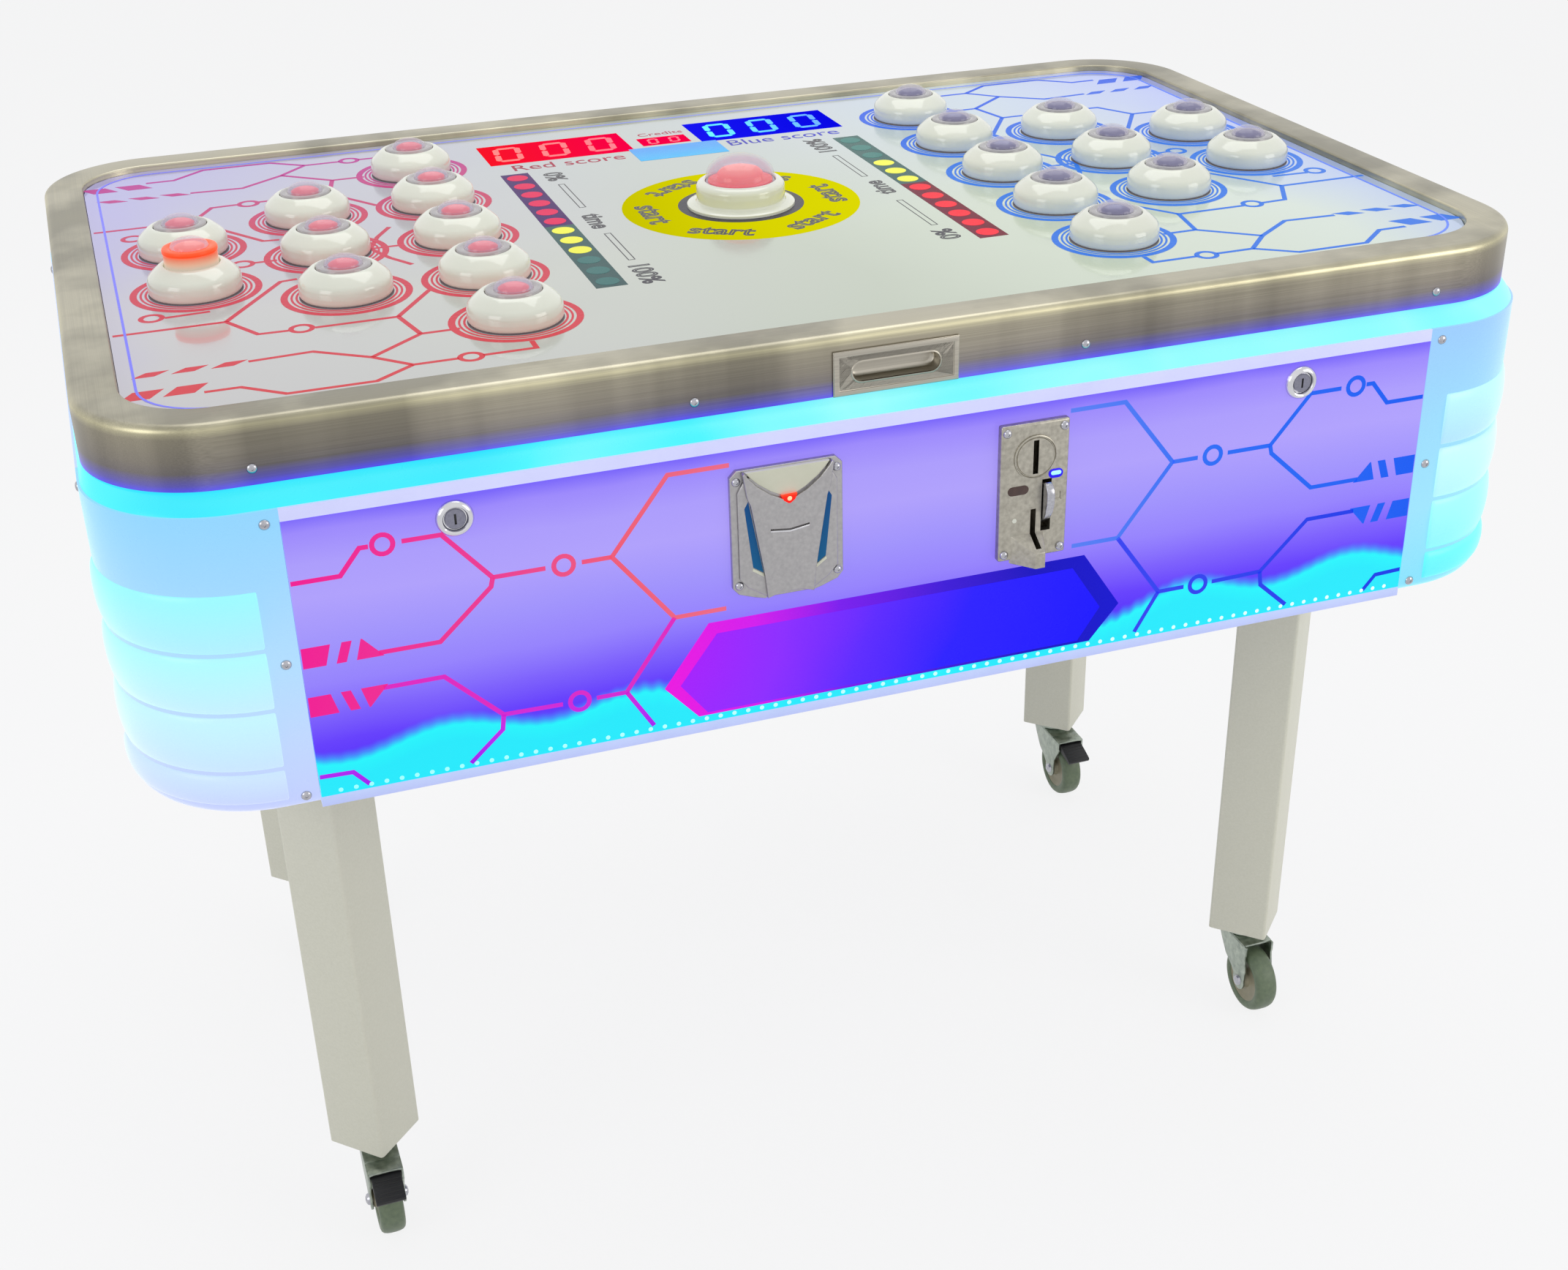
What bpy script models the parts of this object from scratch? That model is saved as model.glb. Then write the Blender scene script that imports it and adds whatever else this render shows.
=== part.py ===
"""Two-player pop-up button table.

A cabinet on four castered legs carries a hinged lid. The lid is a stainless rim around a playfield with ten
domed pop-up buttons for each player and one start button. The front of the cabinet is a service panel that
drops on its bottom edge and holds a coin acceptor, a card reader and two cam locks.

Metres, +Z up, +X to the right, the front faces -Y. The origin is on the floor under the middle of the table.
"""
import math

import bmesh
import bpy
from mathutils import Matrix, Vector

# ------------------------------------------------------------------------------------------------
# Driving dimensions
# ------------------------------------------------------------------------------------------------
GAP = 0.0003                  # between pieces that touch
RUNNING_GAP = 0.0005          # around pieces that slide or turn
SAME = 1e-6                   # two coordinates this close are one place

# Lid rim: a folded sheet channel that runs round the playfield
RIM_WIDTH = 1.292
RIM_DEPTH = 0.808
RIM_TOP = 0.930
RIM_HEIGHT = 0.053
RIM_BAND = 0.038
RIM_CORNER = 0.105
RIM_SHEET = 0.002
RIM_LEDGE = 0.010
RIM_EDGE_ROUND = 0.006

# Playfield: board under a clear cover sheet
COVER_RECESS = 0.0065
COVER_SHEET = 0.003
BOARD_SHEET = 0.012

# Light band and cabinet
BAND_HEIGHT = 0.014
BAND_DEPTH = 0.024
OVERHANG_SIDE = 0.005
OVERHANG_FRONT = 0.019
CABINET_HEIGHT = 0.267
TOP_STRIP = 0.011
BOTTOM_STRIP = 0.009
PANEL_SHEET = 0.006
SIDE_SHEET = 0.005
TUB_WALL = 0.012
TUB_INSET = 0.028
LIP_ROOF = 0.003
SERVICE_OPENING = (0.920, 0.020, 0.008)     # width, then how far it stays below and above

# Corner fairings
FAIRING_SPAN = 0.141
FAIRING_CORNER = 0.112
FAIRING_SHEET = 0.003
FAIRING_FLANGE = 0.026
PAD_COUNT = 4
PAD_PITCH = 0.0535
PAD_RISE = 0.0045
PAD_EDGE = 0.004              # chamfer along a pad's top and bottom
PAD_GROOVE = 0.004
PAD_TOP = 0.0655              # first pad below the fairing's top
FAIRING_FOOT = 0.010          # rounding of the fairing's lower edge

# Player buttons: columns at three distances from the middle, rows at one pitch
BUTTON_COLUMNS = ((0.281, 5), (0.4045, 3), (0.528, 2))
BUTTON_PITCH = 0.1225
BUTTON_STEPS = 12
BUTTON_TRAVEL = 0.013
PLUNGER_R = 0.0240
BARREL_R = 0.0300
HOUSING_R = 0.0410
HOUSING_HEIGHT = 0.0265
HOUSING_DROP = 0.032
HOUSING_FLOOR = 0.004
HOLE_CLEARANCE = 0.001
SKIRT = 0.020
DOME_R = 0.0175
DOME_RISE = 0.0078
PLUNGER_STEM_R = 0.006
BANK_PLATE = 0.003
BANK_MARGIN = 0.048

# Start button
START_TRAVEL = 0.010
START_PLUNGER_R = 0.0340
START_BARREL_R = 0.0440
START_FLANGE_R = 0.0530
START_BODY_R = 0.0435
START_HEIGHT = 0.0255
START_DOME_RISE = 0.021
START_DOME_SEAT = 0.003       # the dome's foot above the housing while it is up
START_SKIRT = 0.022
START_STEM_R = 0.008
START_STEPS = 24

# Displays behind windows in the board: middle X, middle Y, width, depth
DISPLAYS = ((-0.120, 0.275, 0.156, 0.076), (0.117, 0.275, 0.158, 0.076), (-0.002, 0.262, 0.052, 0.030))
DISPLAY_PCB = 0.002
DISPLAY_MARGIN = 0.006

# Flush pull handle in the front of the rim
PULL_WIDTH = 0.112
PULL_HEIGHT = 0.039
PULL_SHEET = 0.0025
PULL_CUP = (0.078, 0.017, 0.014)
PULL_WALL = 0.002

# Coin acceptor and card reader in the service panel
COIN_X = 0.117
COIN_TOP = 0.014
COIN_WIDTH = 0.064
COIN_HEIGHT = 0.126
COIN_PLATE = 0.008
COIN_BODY_DEPTH = 0.045
COIN_LIP = 0.018
COIN_DISC_R = 0.019
COIN_DISC_DROP = 0.031
COIN_SLOT = (0.0050, 0.030)
LEVER_OFFSET = 0.012
LEVER_WIDTH = 0.007
LEVER_SPAN = (0.028, 0.070)   # above the acceptor's bottom edge
CUTOUT_MARGIN = 0.003         # the panel's cutout is this much smaller than the plate over it
READER_X = -0.106
READER_TOP = 0.016
READER_WIDTH = 0.098
READER_HEIGHT = 0.112
READER_CHIN = 0.008
READER_PLATE = 0.012
READER_BODY_DEPTH = 0.025

# Cam locks
LOCK_X = 0.378
LOCK_DROP = 0.0195
LOCK_R = 0.0095
LOCK_HEAD_R = 0.0125
LOCK_HEAD = 0.003
CAM_LENGTH = 0.025
CAM_WIDTH = 0.010
CAM_SHEET = 0.0025

# Legs, turned by 45 degrees, and casters
LEG_SIDE = 0.064
LEG_SPACE = 0.00484           # from the leg's flat to the fairing's inner corner
LEG_ALONG = -0.01591          # and how far its middle lies off that corner, along the flat
LEG_WALL = 0.003
CASTER_SPACE = 0.025          # from the top of the tread to the leg's lower end
LEG_FLANGE = 0.084
LEG_FLANGE_SHEET = 0.004
LEG_INSIDE = 0.050
WHEEL_R = 0.0375
WHEEL_WIDTH = 0.026
WHEEL_STEPS = 20
AXLE_R = 0.0040
CASTER_TRAIL = 0.028
CASTER_HEAD_R = 0.021
CASTER_HEAD = 0.011
CHEEK_SHEET = 0.0025
CHEEK_GAP = 0.0022
CHEEK_EYE_R = 0.011
CROWN_FRONT = 0.032           # the crown's reach ahead of the stem, and behind it
CROWN_BACK = 0.020
STEM_R = 0.006
STEM_LENGTH = 0.025
PEDAL_PIN_R = 0.003
PEDAL_PIN_REACH = 0.045       # from the stem to the pedal's pin
PEDAL_LENGTH = 0.034

# Inside the cabinet
COIN_BOX = (0.200, 0.170, 0.090)
COIN_BOX_SHEET = 0.0015
COIN_BOX_SPACE = 0.010        # between the box and the tub's front wall
CONTROL_BOX = (0.230, 0.150, 0.055)
CONTROL_PLACE = (-0.300, -0.020)
CONTROL_FINS = 6
INLET = (0.048, 0.028, 0.026)
INLET_PLACE = (-0.380, 0.060)
INLET_WALL = 0.003
VENT_SPAN = (0.220, 0.380)
VENT_SLOTS = 5

# ------------------------------------------------------------------------------------------------
# Derived places
# ------------------------------------------------------------------------------------------------
rim_bottom = RIM_TOP - RIM_HEIGHT
cabinet_top = rim_bottom - BAND_HEIGHT
cabinet_bottom = cabinet_top - CABINET_HEIGHT
panel_top = cabinet_top - TOP_STRIP
panel_bottom = cabinet_bottom + BOTTOM_STRIP
half_width = RIM_WIDTH / 2 + OVERHANG_SIDE
half_depth = RIM_DEPTH / 2 + OVERHANG_FRONT
panel_half = half_width - FAIRING_SPAN
side_half = half_depth - FAIRING_SPAN
cover_top = RIM_TOP - COVER_RECESS
cover_bottom = cover_top - COVER_SHEET
board_top = cover_bottom - GAP
board_bottom = board_top - BOARD_SHEET
well_width = RIM_WIDTH - 2 * RIM_BAND
well_depth = RIM_DEPTH - 2 * RIM_BAND
well_corner = RIM_CORNER - RIM_BAND
tub_half_width = half_width - TUB_INSET
tub_half_depth = half_depth - TUB_INSET
leg_bottom = 2 * WHEEL_R + CASTER_SPACE
leg_out = LEG_SIDE / 2 + LEG_SPACE
leg_x = panel_half + GAP - (leg_out + LEG_ALONG) / math.sqrt(2)
leg_y = side_half + GAP - (leg_out - LEG_ALONG) / math.sqrt(2)
axle_y = -CASTER_TRAIL
cheek_x = WHEEL_WIDTH / 2 + CHEEK_GAP + CHEEK_SHEET / 2
front_reach = half_depth + GAP + COIN_PLATE + COIN_LIP
rear_reach = half_depth + PAD_RISE
MIDDLE_Y = (front_reach - rear_reach) / 2      # puts the origin under the middle of the whole table

# ------------------------------------------------------------------------------------------------
# Scene, collections and materials
# ------------------------------------------------------------------------------------------------
for old in list(bpy.data.objects):
    bpy.data.objects.remove(old, do_unlink=True)

PARTS = bpy.data.collections.new("popup_button_table")
CUTTERS = bpy.data.collections.new("cutters")
for group in (PARTS, CUTTERS):
    bpy.context.scene.collection.children.link(group)


def make_material(name, color, roughness, metallic=0.0):
    """A plain Principled material."""
    mat = bpy.data.materials.new(name)
    mat.use_nodes = True
    shader = mat.node_tree.nodes["Principled BSDF"]
    shader.inputs["Base Color"].default_value = (*color, 1.0)
    shader.inputs["Roughness"].default_value = roughness
    shader.inputs["Metallic"].default_value = metallic
    return mat


STEEL = make_material("brushed_stainless", (0.46, 0.45, 0.42), 0.32, 1.0)
CHROME = make_material("chrome", (0.72, 0.72, 0.74), 0.15, 1.0)
CAST = make_material("cast_metal", (0.42, 0.41, 0.38), 0.35, 1.0)
ZINC = make_material("zinc_plate", (0.42, 0.47, 0.44), 0.40, 1.0)
CREAM = make_material("cream_powder_coat", (0.72, 0.71, 0.55), 0.45)
WHITE = make_material("white_gloss", (0.84, 0.85, 0.76), 0.12)
LENS = make_material("clear_lens", (0.80, 0.55, 0.55), 0.05)
LENS_BLUE = make_material("clear_lens_blue", (0.50, 0.55, 0.80), 0.05)
PRINT = make_material("playfield_board", (0.75, 0.78, 0.74), 0.35)
CLEAR = make_material("cover_sheet", (0.82, 0.86, 0.84), 0.06)
LIGHT = make_material("light_band", (0.02, 0.90, 0.95), 0.40)
LILAC = make_material("lit_panel", (0.45, 0.35, 0.95), 0.30)
MILKY = make_material("fairing_plastic", (0.62, 0.86, 0.98), 0.35)
BOARD = make_material("cabinet_board", (0.80, 0.80, 0.86), 0.50)
GREEN = make_material("green_tread", (0.13, 0.20, 0.13), 0.50)
BLACK = make_material("black_plastic", (0.02, 0.02, 0.02), 0.50)
CIRCUIT = make_material("circuit_board", (0.03, 0.16, 0.08), 0.45)
SHEET = make_material("zinc_sheet", (0.50, 0.51, 0.52), 0.40, 1.0)


# ------------------------------------------------------------------------------------------------
# Shape helpers. All places are in the table's own frame; an object's origin is put at `origin`.
# ------------------------------------------------------------------------------------------------
def put(name, bm, mat, origin=(0, 0, 0)):
    """Turns a bmesh into a named object; without a material it becomes a hidden cutter."""
    bmesh.ops.translate(bm, vec=-Vector(origin), verts=bm.verts)
    mesh = bpy.data.meshes.new(name)
    bm.to_mesh(mesh)
    bm.free()
    obj = bpy.data.objects.new(name, mesh)
    obj.location = origin
    if mat is None:
        CUTTERS.objects.link(obj)
        obj.hide_render = True
        obj.display_type = "WIRE"
    else:
        PARTS.objects.link(obj)
        mesh.materials.append(mat)
    return obj


def block_bm(low, high, corner=0.0, steps=5, edge=0.0, edge_steps=2, edges_at="top"):
    """A box between two corners, with rounded upright edges and, if wanted, a rounded top or bottom edge."""
    bm = bmesh.new()
    bmesh.ops.create_cube(bm, size=1.0)
    size = [b - a for a, b in zip(low, high)]
    middle = [(a + b) / 2 for a, b in zip(low, high)]
    bmesh.ops.scale(bm, vec=size, verts=bm.verts)
    bmesh.ops.translate(bm, vec=middle, verts=bm.verts)
    if corner > 0:
        upright = [e for e in bm.edges if abs(e.verts[0].co.z - e.verts[1].co.z) > SAME]
        bmesh.ops.bevel(bm, geom=upright, offset=corner, segments=steps, profile=0.5, affect="EDGES")
    if edge > 0:
        level = high[2] if edges_at == "top" else low[2]
        rim = [e for e in bm.edges if all(abs(v.co.z - level) < SAME for v in e.verts)]
        bmesh.ops.bevel(bm, geom=rim, offset=edge, segments=edge_steps, profile=0.5, affect="EDGES")
    return bm


def block(name, low, high, mat=None, origin=(0, 0, 0), **shape):
    return put(name, block_bm(low, high, **shape), mat, origin)


def slab(name, width, depth, bottom, top, mat=None, origin=(0, 0, 0), **shape):
    """A block centred on the table."""
    low = (-width / 2, -depth / 2, bottom)
    high = (width / 2, depth / 2, top)
    return block(name, low, high, mat, origin, **shape)


def rod(name, radius, start, axis, length, mat=None, origin=(0, 0, 0), steps=16, far_radius=None):
    """A cylinder or cone that starts at a point and runs along X, Y or Z."""
    bm = bmesh.new()
    far = radius if far_radius is None else far_radius
    bmesh.ops.create_cone(bm, cap_ends=True, segments=steps, radius1=radius, radius2=far, depth=length)
    bmesh.ops.translate(bm, vec=(0, 0, length / 2), verts=bm.verts)
    turn = {"X": Matrix.Rotation(math.pi / 2, 3, "Y"), "Y": Matrix.Rotation(-math.pi / 2, 3, "X"),
            "Z": Matrix.Identity(3)}[axis]
    bmesh.ops.rotate(bm, cent=(0, 0, 0), matrix=turn, verts=bm.verts)
    bmesh.ops.translate(bm, vec=start, verts=bm.verts)
    return put(name, bm, mat, origin)


def turned(name, profile, place, mat=None, steps=16, axis="Z"):
    """A turned piece: a profile of (radius, height) points, from the top down its outer side."""
    bm = bmesh.new()
    points = [bm.verts.new((radius, 0, height)) for radius, height in profile]
    for first, second in zip(points, points[1:]):
        bm.edges.new((first, second))
    if profile[0][0] > 0:
        bm.edges.new((points[-1], points[0]))
    obj = put(name, bm, mat)
    obj.location = place
    if axis == "X":
        obj.rotation_euler = (0, math.pi / 2, 0)
    screw = obj.modifiers.new("turn", "SCREW")
    screw.axis = "Z"
    screw.steps = steps
    screw.render_steps = steps
    screw.use_merge_vertices = True
    screw.merge_threshold = 0.00001
    return obj


def outline(name, points, axis, low, high, mat=None, origin=(0, 0, 0)):
    """A flat outline with thickness: points are (y, z) for axis X, or (x, z) for axis Y."""
    curve = bpy.data.curves.new(name, "CURVE")
    curve.dimensions = "2D"
    curve.fill_mode = "BOTH"
    curve.extrude = (high - low) / 2
    spline = curve.splines.new("POLY")
    spline.points.add(len(points) - 1)
    for point, (across, up) in zip(spline.points, points):
        point.co = (across, up, 0, 1)
    spline.use_cyclic_u = True
    holder = bpy.data.objects.new(name, curve)
    bpy.context.scene.collection.objects.link(holder)
    graph = bpy.context.evaluated_depsgraph_get()
    mesh = bpy.data.meshes.new_from_object(holder.evaluated_get(graph))
    bpy.data.objects.remove(holder, do_unlink=True)
    bm = bmesh.new()
    bm.from_mesh(mesh)
    bpy.data.meshes.remove(mesh)
    bmesh.ops.remove_doubles(bm, verts=bm.verts, dist=0.00001)
    middle = (low + high) / 2
    if axis == "X":
        place = Matrix(((0, 0, 1, middle), (1, 0, 0, 0), (0, 1, 0, 0), (0, 0, 0, 1)))
    else:
        place = Matrix(((1, 0, 0, 0), (0, 0, -1, middle), (0, 1, 0, 0), (0, 0, 0, 1)))
    bmesh.ops.transform(bm, matrix=place, verts=bm.verts)
    bmesh.ops.recalc_face_normals(bm, faces=bm.faces)
    return put(name, bm, mat, origin)


def combine(obj, other, operation):
    """Adds a live Boolean and files the operand with the cutters."""
    change = obj.modifiers.new(other.name, "BOOLEAN")
    change.operation = operation
    change.solver = "EXACT"
    change.object = other
    return obj


def cut(obj, *others):
    for other in others:
        combine(obj, other, "DIFFERENCE")
    return obj


def fuse(obj, *others):
    for other in others:
        combine(obj, other, "UNION")
    return obj


def arc(middle, radius, first, last, count):
    """Points on an arc, angles in degrees."""
    across, up = middle
    angles = [math.radians(first + (last - first) * i / count) for i in range(count + 1)]
    return [(across + radius * math.cos(a), up + radius * math.sin(a)) for a in angles]


def button_places(side):
    """Middles of one player's buttons; the columns with most rows are nearest the middle."""
    places = []
    for across, rows in BUTTON_COLUMNS:
        for row in range(rows):
            places.append((side * across, (row - (rows - 1) / 2) * BUTTON_PITCH))
    return places


# ------------------------------------------------------------------------------------------------
# Cabinet
# ------------------------------------------------------------------------------------------------
def cross_slab(name, bottom, top, mat=None):
    """A board that reaches the outside between the fairings and leaves the four corners free."""
    board = slab(name, 2 * panel_half, 2 * half_depth, bottom, top, mat)
    wide = slab(name + "_wide", 2 * half_width, 2 * side_half, bottom, top)
    return fuse(board, wide)


def make_cabinet():
    body = cross_slab("cabinet_body", cabinet_bottom, panel_bottom, BOARD)
    corner = FAIRING_CORNER - TUB_INSET
    tub_bottom = cabinet_bottom + FAIRING_SHEET + GAP
    fuse(body, slab("tub_outer", 2 * tub_half_width, 2 * tub_half_depth, tub_bottom, cabinet_top,
                    corner=corner))
    fuse(body, cross_slab("top_frame", panel_top, cabinet_top))
    inner_width = 2 * (tub_half_width - TUB_WALL)
    inner_depth = 2 * (tub_half_depth - TUB_WALL)
    cut(body, slab("tub_inner", inner_width, inner_depth, panel_bottom, cabinet_top + 0.01,
                   corner=corner - TUB_WALL))
    reach = 0.003
    lip_back = -half_depth + PANEL_SHEET
    cut(body, block("lip_channel", (-LOCK_X - 0.06, lip_back, panel_top - 0.001),
                    (LOCK_X + 0.06, -tub_half_depth, cabinet_top - LIP_ROOF)))
    width, below, above = SERVICE_OPENING
    cut(body, block("service_opening", (-width / 2, -tub_half_depth - reach, panel_bottom + below),
                    (width / 2, -tub_half_depth + TUB_WALL + reach, panel_top - above)))
    for x_side in (-1, 1):
        for y_side in (-1, 1):
            hole = leg_block(f"leg_hole_{x_side}_{y_side}", x_side, y_side, LEG_SIDE + 2 * RUNNING_GAP,
                             cabinet_bottom - reach, panel_bottom + reach)
            cut(body, hole)


def leg_block(name, x_side, y_side, side, bottom, top, mat=None):
    """A square block turned 45 degrees on a leg's axis."""
    half = side / 2
    obj = block(name, (-half, -half, bottom), (half, half, top), mat)
    obj.location = (x_side * leg_x, y_side * leg_y, 0)
    obj.rotation_euler = (0, 0, math.radians(45))
    return obj


def make_panels():
    low = panel_bottom + GAP
    high = panel_top - GAP
    rear = block("rear_panel", (-panel_half + GAP, half_depth - PANEL_SHEET, low),
                 (panel_half - GAP, half_depth, high), LILAC)
    width, height, depth = INLET
    inlet_x = INLET_PLACE[0]
    inlet_z = low + INLET_PLACE[1]
    wall = INLET_WALL
    reach_x = width / 2 + wall
    reach_z = height / 2 + wall
    fuse(rear, block("inlet_shell", (inlet_x - reach_x, half_depth - depth, inlet_z - reach_z),
                     (inlet_x + reach_x, half_depth - wall, inlet_z + reach_z)))
    cut(rear, block("inlet_recess", (inlet_x - width / 2, half_depth - depth + wall, inlet_z - height / 2),
                    (inlet_x + width / 2, half_depth + wall, inlet_z + height / 2)))
    for row in range(VENT_SLOTS):
        slot_z = high - 0.040 - row * 0.014
        cut(rear, block(f"vent_{row}", (VENT_SPAN[0], half_depth - 0.02, slot_z),
                        (VENT_SPAN[1], half_depth + 0.01, slot_z + 0.006)))
    for side, name in ((-1, "left_side_panel"), (1, "right_side_panel")):
        edges = sorted((side * half_width, side * (half_width - SIDE_SHEET)))
        block(name, (edges[0], -side_half + GAP, low), (edges[1], side_half - GAP, high), LILAC)


def corner_block(name, sides, near, far, levels, radius, mat=None, edge=0.0, edge_levels=(), edge_steps=1):
    """A block in one corner of the table, its outermost upright edge rounded, and its outer level edges."""
    bm = bmesh.new()
    bmesh.ops.create_cube(bm, size=1.0)
    low = (*near, levels[0])
    high = (*far, levels[1])
    bmesh.ops.scale(bm, vec=[b - a for a, b in zip(low, high)], verts=bm.verts)
    bmesh.ops.translate(bm, vec=[(a + b) / 2 for a, b in zip(low, high)], verts=bm.verts)
    outer = [e for e in bm.edges if all(math.dist(v.co.xy, far) < SAME for v in e.verts)]
    bmesh.ops.bevel(bm, geom=outer, offset=radius, segments=7, profile=0.5, affect="EDGES")
    if edge > 0:
        rim = []
        for line in bm.edges:
            first, second = (v.co for v in line.verts)
            level = any(abs(first.z - z) < SAME and abs(second.z - z) < SAME for z in edge_levels)
            inner = any(abs(first[i] - near[i]) < SAME and abs(second[i] - near[i]) < SAME for i in (0, 1))
            if level and not inner:
                rim.append(line)
        bmesh.ops.bevel(bm, geom=rim, offset=edge, segments=edge_steps, profile=0.5, affect="EDGES")
    bmesh.ops.scale(bm, vec=(*sides, 1), verts=bm.verts)
    bmesh.ops.recalc_face_normals(bm, faces=bm.faces)
    return put(name, bm, mat)


def make_fairing(x_side, y_side, name):
    """A moulded corner shell, open at the top, with four raised pads."""
    sides = (x_side, y_side)
    near = (panel_half + GAP, side_half + GAP)
    shell = corner_block(name, sides, near, (half_width, half_depth), (cabinet_bottom, cabinet_top),
                         FAIRING_CORNER, MILKY, edge=FAIRING_FOOT, edge_levels=(cabinet_bottom,),
                         edge_steps=2)
    for pad in range(PAD_COUNT):
        pad_top = cabinet_top - PAD_TOP - pad * PAD_PITCH
        pad_bottom = max(pad_top - PAD_PITCH + PAD_GROOVE, cabinet_bottom + FAIRING_FOOT)
        fuse(shell, corner_block(f"{name}_pad_{pad}", sides,
                                 (panel_half + FAIRING_FLANGE, side_half + FAIRING_FLANGE),
                                 (half_width + PAD_RISE, half_depth + PAD_RISE), (pad_bottom, pad_top),
                                 FAIRING_CORNER + PAD_RISE, edge=PAD_EDGE,
                                 edge_levels=(pad_bottom, pad_top)))
    past = 0.01
    cut(shell, corner_block(f"{name}_inside", sides, (near[0] - past, near[1] - past),
                            (half_width - FAIRING_SHEET, half_depth - FAIRING_SHEET),
                            (cabinet_bottom + FAIRING_SHEET, cabinet_top + past),
                            FAIRING_CORNER - FAIRING_SHEET))


def make_light_band():
    """A translucent ring that slopes from the cabinet's edge in to the rim's edge."""
    bottom = cabinet_top + GAP
    top = rim_bottom - GAP
    inset = 0.002
    low_width = 2 * (half_width - inset)
    low_depth = 2 * (half_depth - inset)
    bm = block_bm((-low_width / 2, -low_depth / 2, bottom), (low_width / 2, low_depth / 2, top),
                  corner=FAIRING_CORNER - inset, steps=6)
    for vert in bm.verts:
        if vert.co.z > (bottom + top) / 2:
            vert.co.x *= (RIM_WIDTH - inset) / low_width
            vert.co.y *= (RIM_DEPTH - inset) / low_depth
    band = put("light_band", bm, LIGHT)
    cut(band, slab("band_inside", RIM_WIDTH - 2 * BAND_DEPTH, RIM_DEPTH - 2 * BAND_DEPTH, bottom - 0.01,
                   top + 0.01, corner=RIM_CORNER - BAND_DEPTH))


def make_cabinet_contents():
    width, depth, height = COIN_BOX
    low = (COIN_X - width / 2, -tub_half_depth + TUB_WALL + COIN_BOX_SPACE, panel_bottom + GAP)
    high = (low[0] + width, low[1] + depth, low[2] + height)
    box = block("coin_box", low, high, SHEET)
    t = COIN_BOX_SHEET
    cut(box, block("coin_box_inside", (low[0] + t, low[1] + t, low[2] + t),
                   (high[0] - t, high[1] - t, high[2] + t)))
    width, depth, height = CONTROL_BOX
    x, y = CONTROL_PLACE
    top = panel_bottom + height
    unit = block("control_unit", (x, y, panel_bottom + GAP), (x + width, y + depth, top), SHEET)
    pitch = width / (CONTROL_FINS + 1)
    for fin in range(CONTROL_FINS):
        fin_x = x + (fin + 0.7) * pitch
        cut(unit, block(f"fin_{fin}", (fin_x, y - 0.01, top - 0.012),
                        (fin_x + 0.6 * pitch, y + depth + 0.01, top + 0.01)))


# ------------------------------------------------------------------------------------------------
# Lid
# ------------------------------------------------------------------------------------------------
def make_rim():
    hinge_line = (0, RIM_DEPTH / 2, rim_bottom)
    rim = slab("lid_rim", RIM_WIDTH, RIM_DEPTH, rim_bottom, RIM_TOP, STEEL, hinge_line, corner=RIM_CORNER,
               steps=7, edge=RIM_EDGE_ROUND)
    channel_top = RIM_TOP - RIM_SHEET
    outer = slab("channel_outer", RIM_WIDTH - 2 * RIM_SHEET, RIM_DEPTH - 2 * RIM_SHEET, rim_bottom - 0.01,
                 channel_top, corner=RIM_CORNER - RIM_SHEET, steps=7, edge=RIM_EDGE_ROUND)
    inner = slab("channel_inner", well_width + 2 * RIM_SHEET, well_depth + 2 * RIM_SHEET, rim_bottom - 0.02,
                 RIM_TOP + 0.01, corner=well_corner + RIM_SHEET)
    cut(outer, inner)
    ledge_top = board_bottom - GAP
    ledge_bottom = ledge_top - RIM_SHEET
    cut(rim, outer)
    cut(rim, slab("well", well_width, well_depth, ledge_top, RIM_TOP + 0.01, corner=well_corner))
    cut(rim, slab("below_ledge", well_width + 3 * RIM_SHEET, well_depth + 3 * RIM_SHEET, rim_bottom - 0.01,
                  ledge_bottom, corner=well_corner + RIM_SHEET))
    cut(rim, slab("ledge_opening", well_width - 2 * RIM_LEDGE, well_depth - 2 * RIM_LEDGE, rim_bottom - 0.01,
                  RIM_TOP, corner=well_corner - RIM_LEDGE))
    width, height, depth = PULL_CUP
    margin = PULL_WALL + GAP
    middle = rim_bottom + PULL_HEIGHT / 2
    cut(rim, block("pull_hole", (-width / 2 - margin, -RIM_DEPTH / 2 - 0.01, middle - height / 2 - margin),
                   (width / 2 + margin, -RIM_DEPTH / 2 + RIM_SHEET + 0.002, middle + height / 2 + margin)))


def make_pull_handle():
    width, height, depth = PULL_CUP
    front = -RIM_DEPTH / 2 - GAP
    middle = rim_bottom + PULL_HEIGHT / 2
    plate = block("lid_pull_handle", (-PULL_WIDTH / 2, front - PULL_SHEET, rim_bottom),
                  (PULL_WIDTH / 2, front, rim_bottom + PULL_HEIGHT), CAST, (0, front, middle))
    half_cup = width / 2 + PULL_WALL
    fuse(plate, block("pull_cup", (-half_cup, front - PULL_SHEET / 2, middle - height / 2 - PULL_WALL),
                      (half_cup, front + depth, middle + height / 2 + PULL_WALL)))
    ends = width / 2 - height / 2
    shape = arc((ends, middle), height / 2, -90, 90, 6) + arc((-ends, middle), height / 2, 90, 270, 6)
    cut(plate, outline("pull_recess", shape, "Y", front - 0.02, front + depth - PULL_WALL))


def hole_cutters(prefix, radius_small, radius_start, bottom, top):
    holes = []
    for side in (-1, 1):
        for index, (x, y) in enumerate(button_places(side)):
            holes.append(rod(f"{prefix}_{side}_{index}", radius_small, (x, y, bottom), "Z", top - bottom,
                             steps=BUTTON_STEPS))
    holes.append(rod(f"{prefix}_start", radius_start, (0, 0, bottom), "Z", top - bottom, steps=START_STEPS))
    return holes


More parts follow.
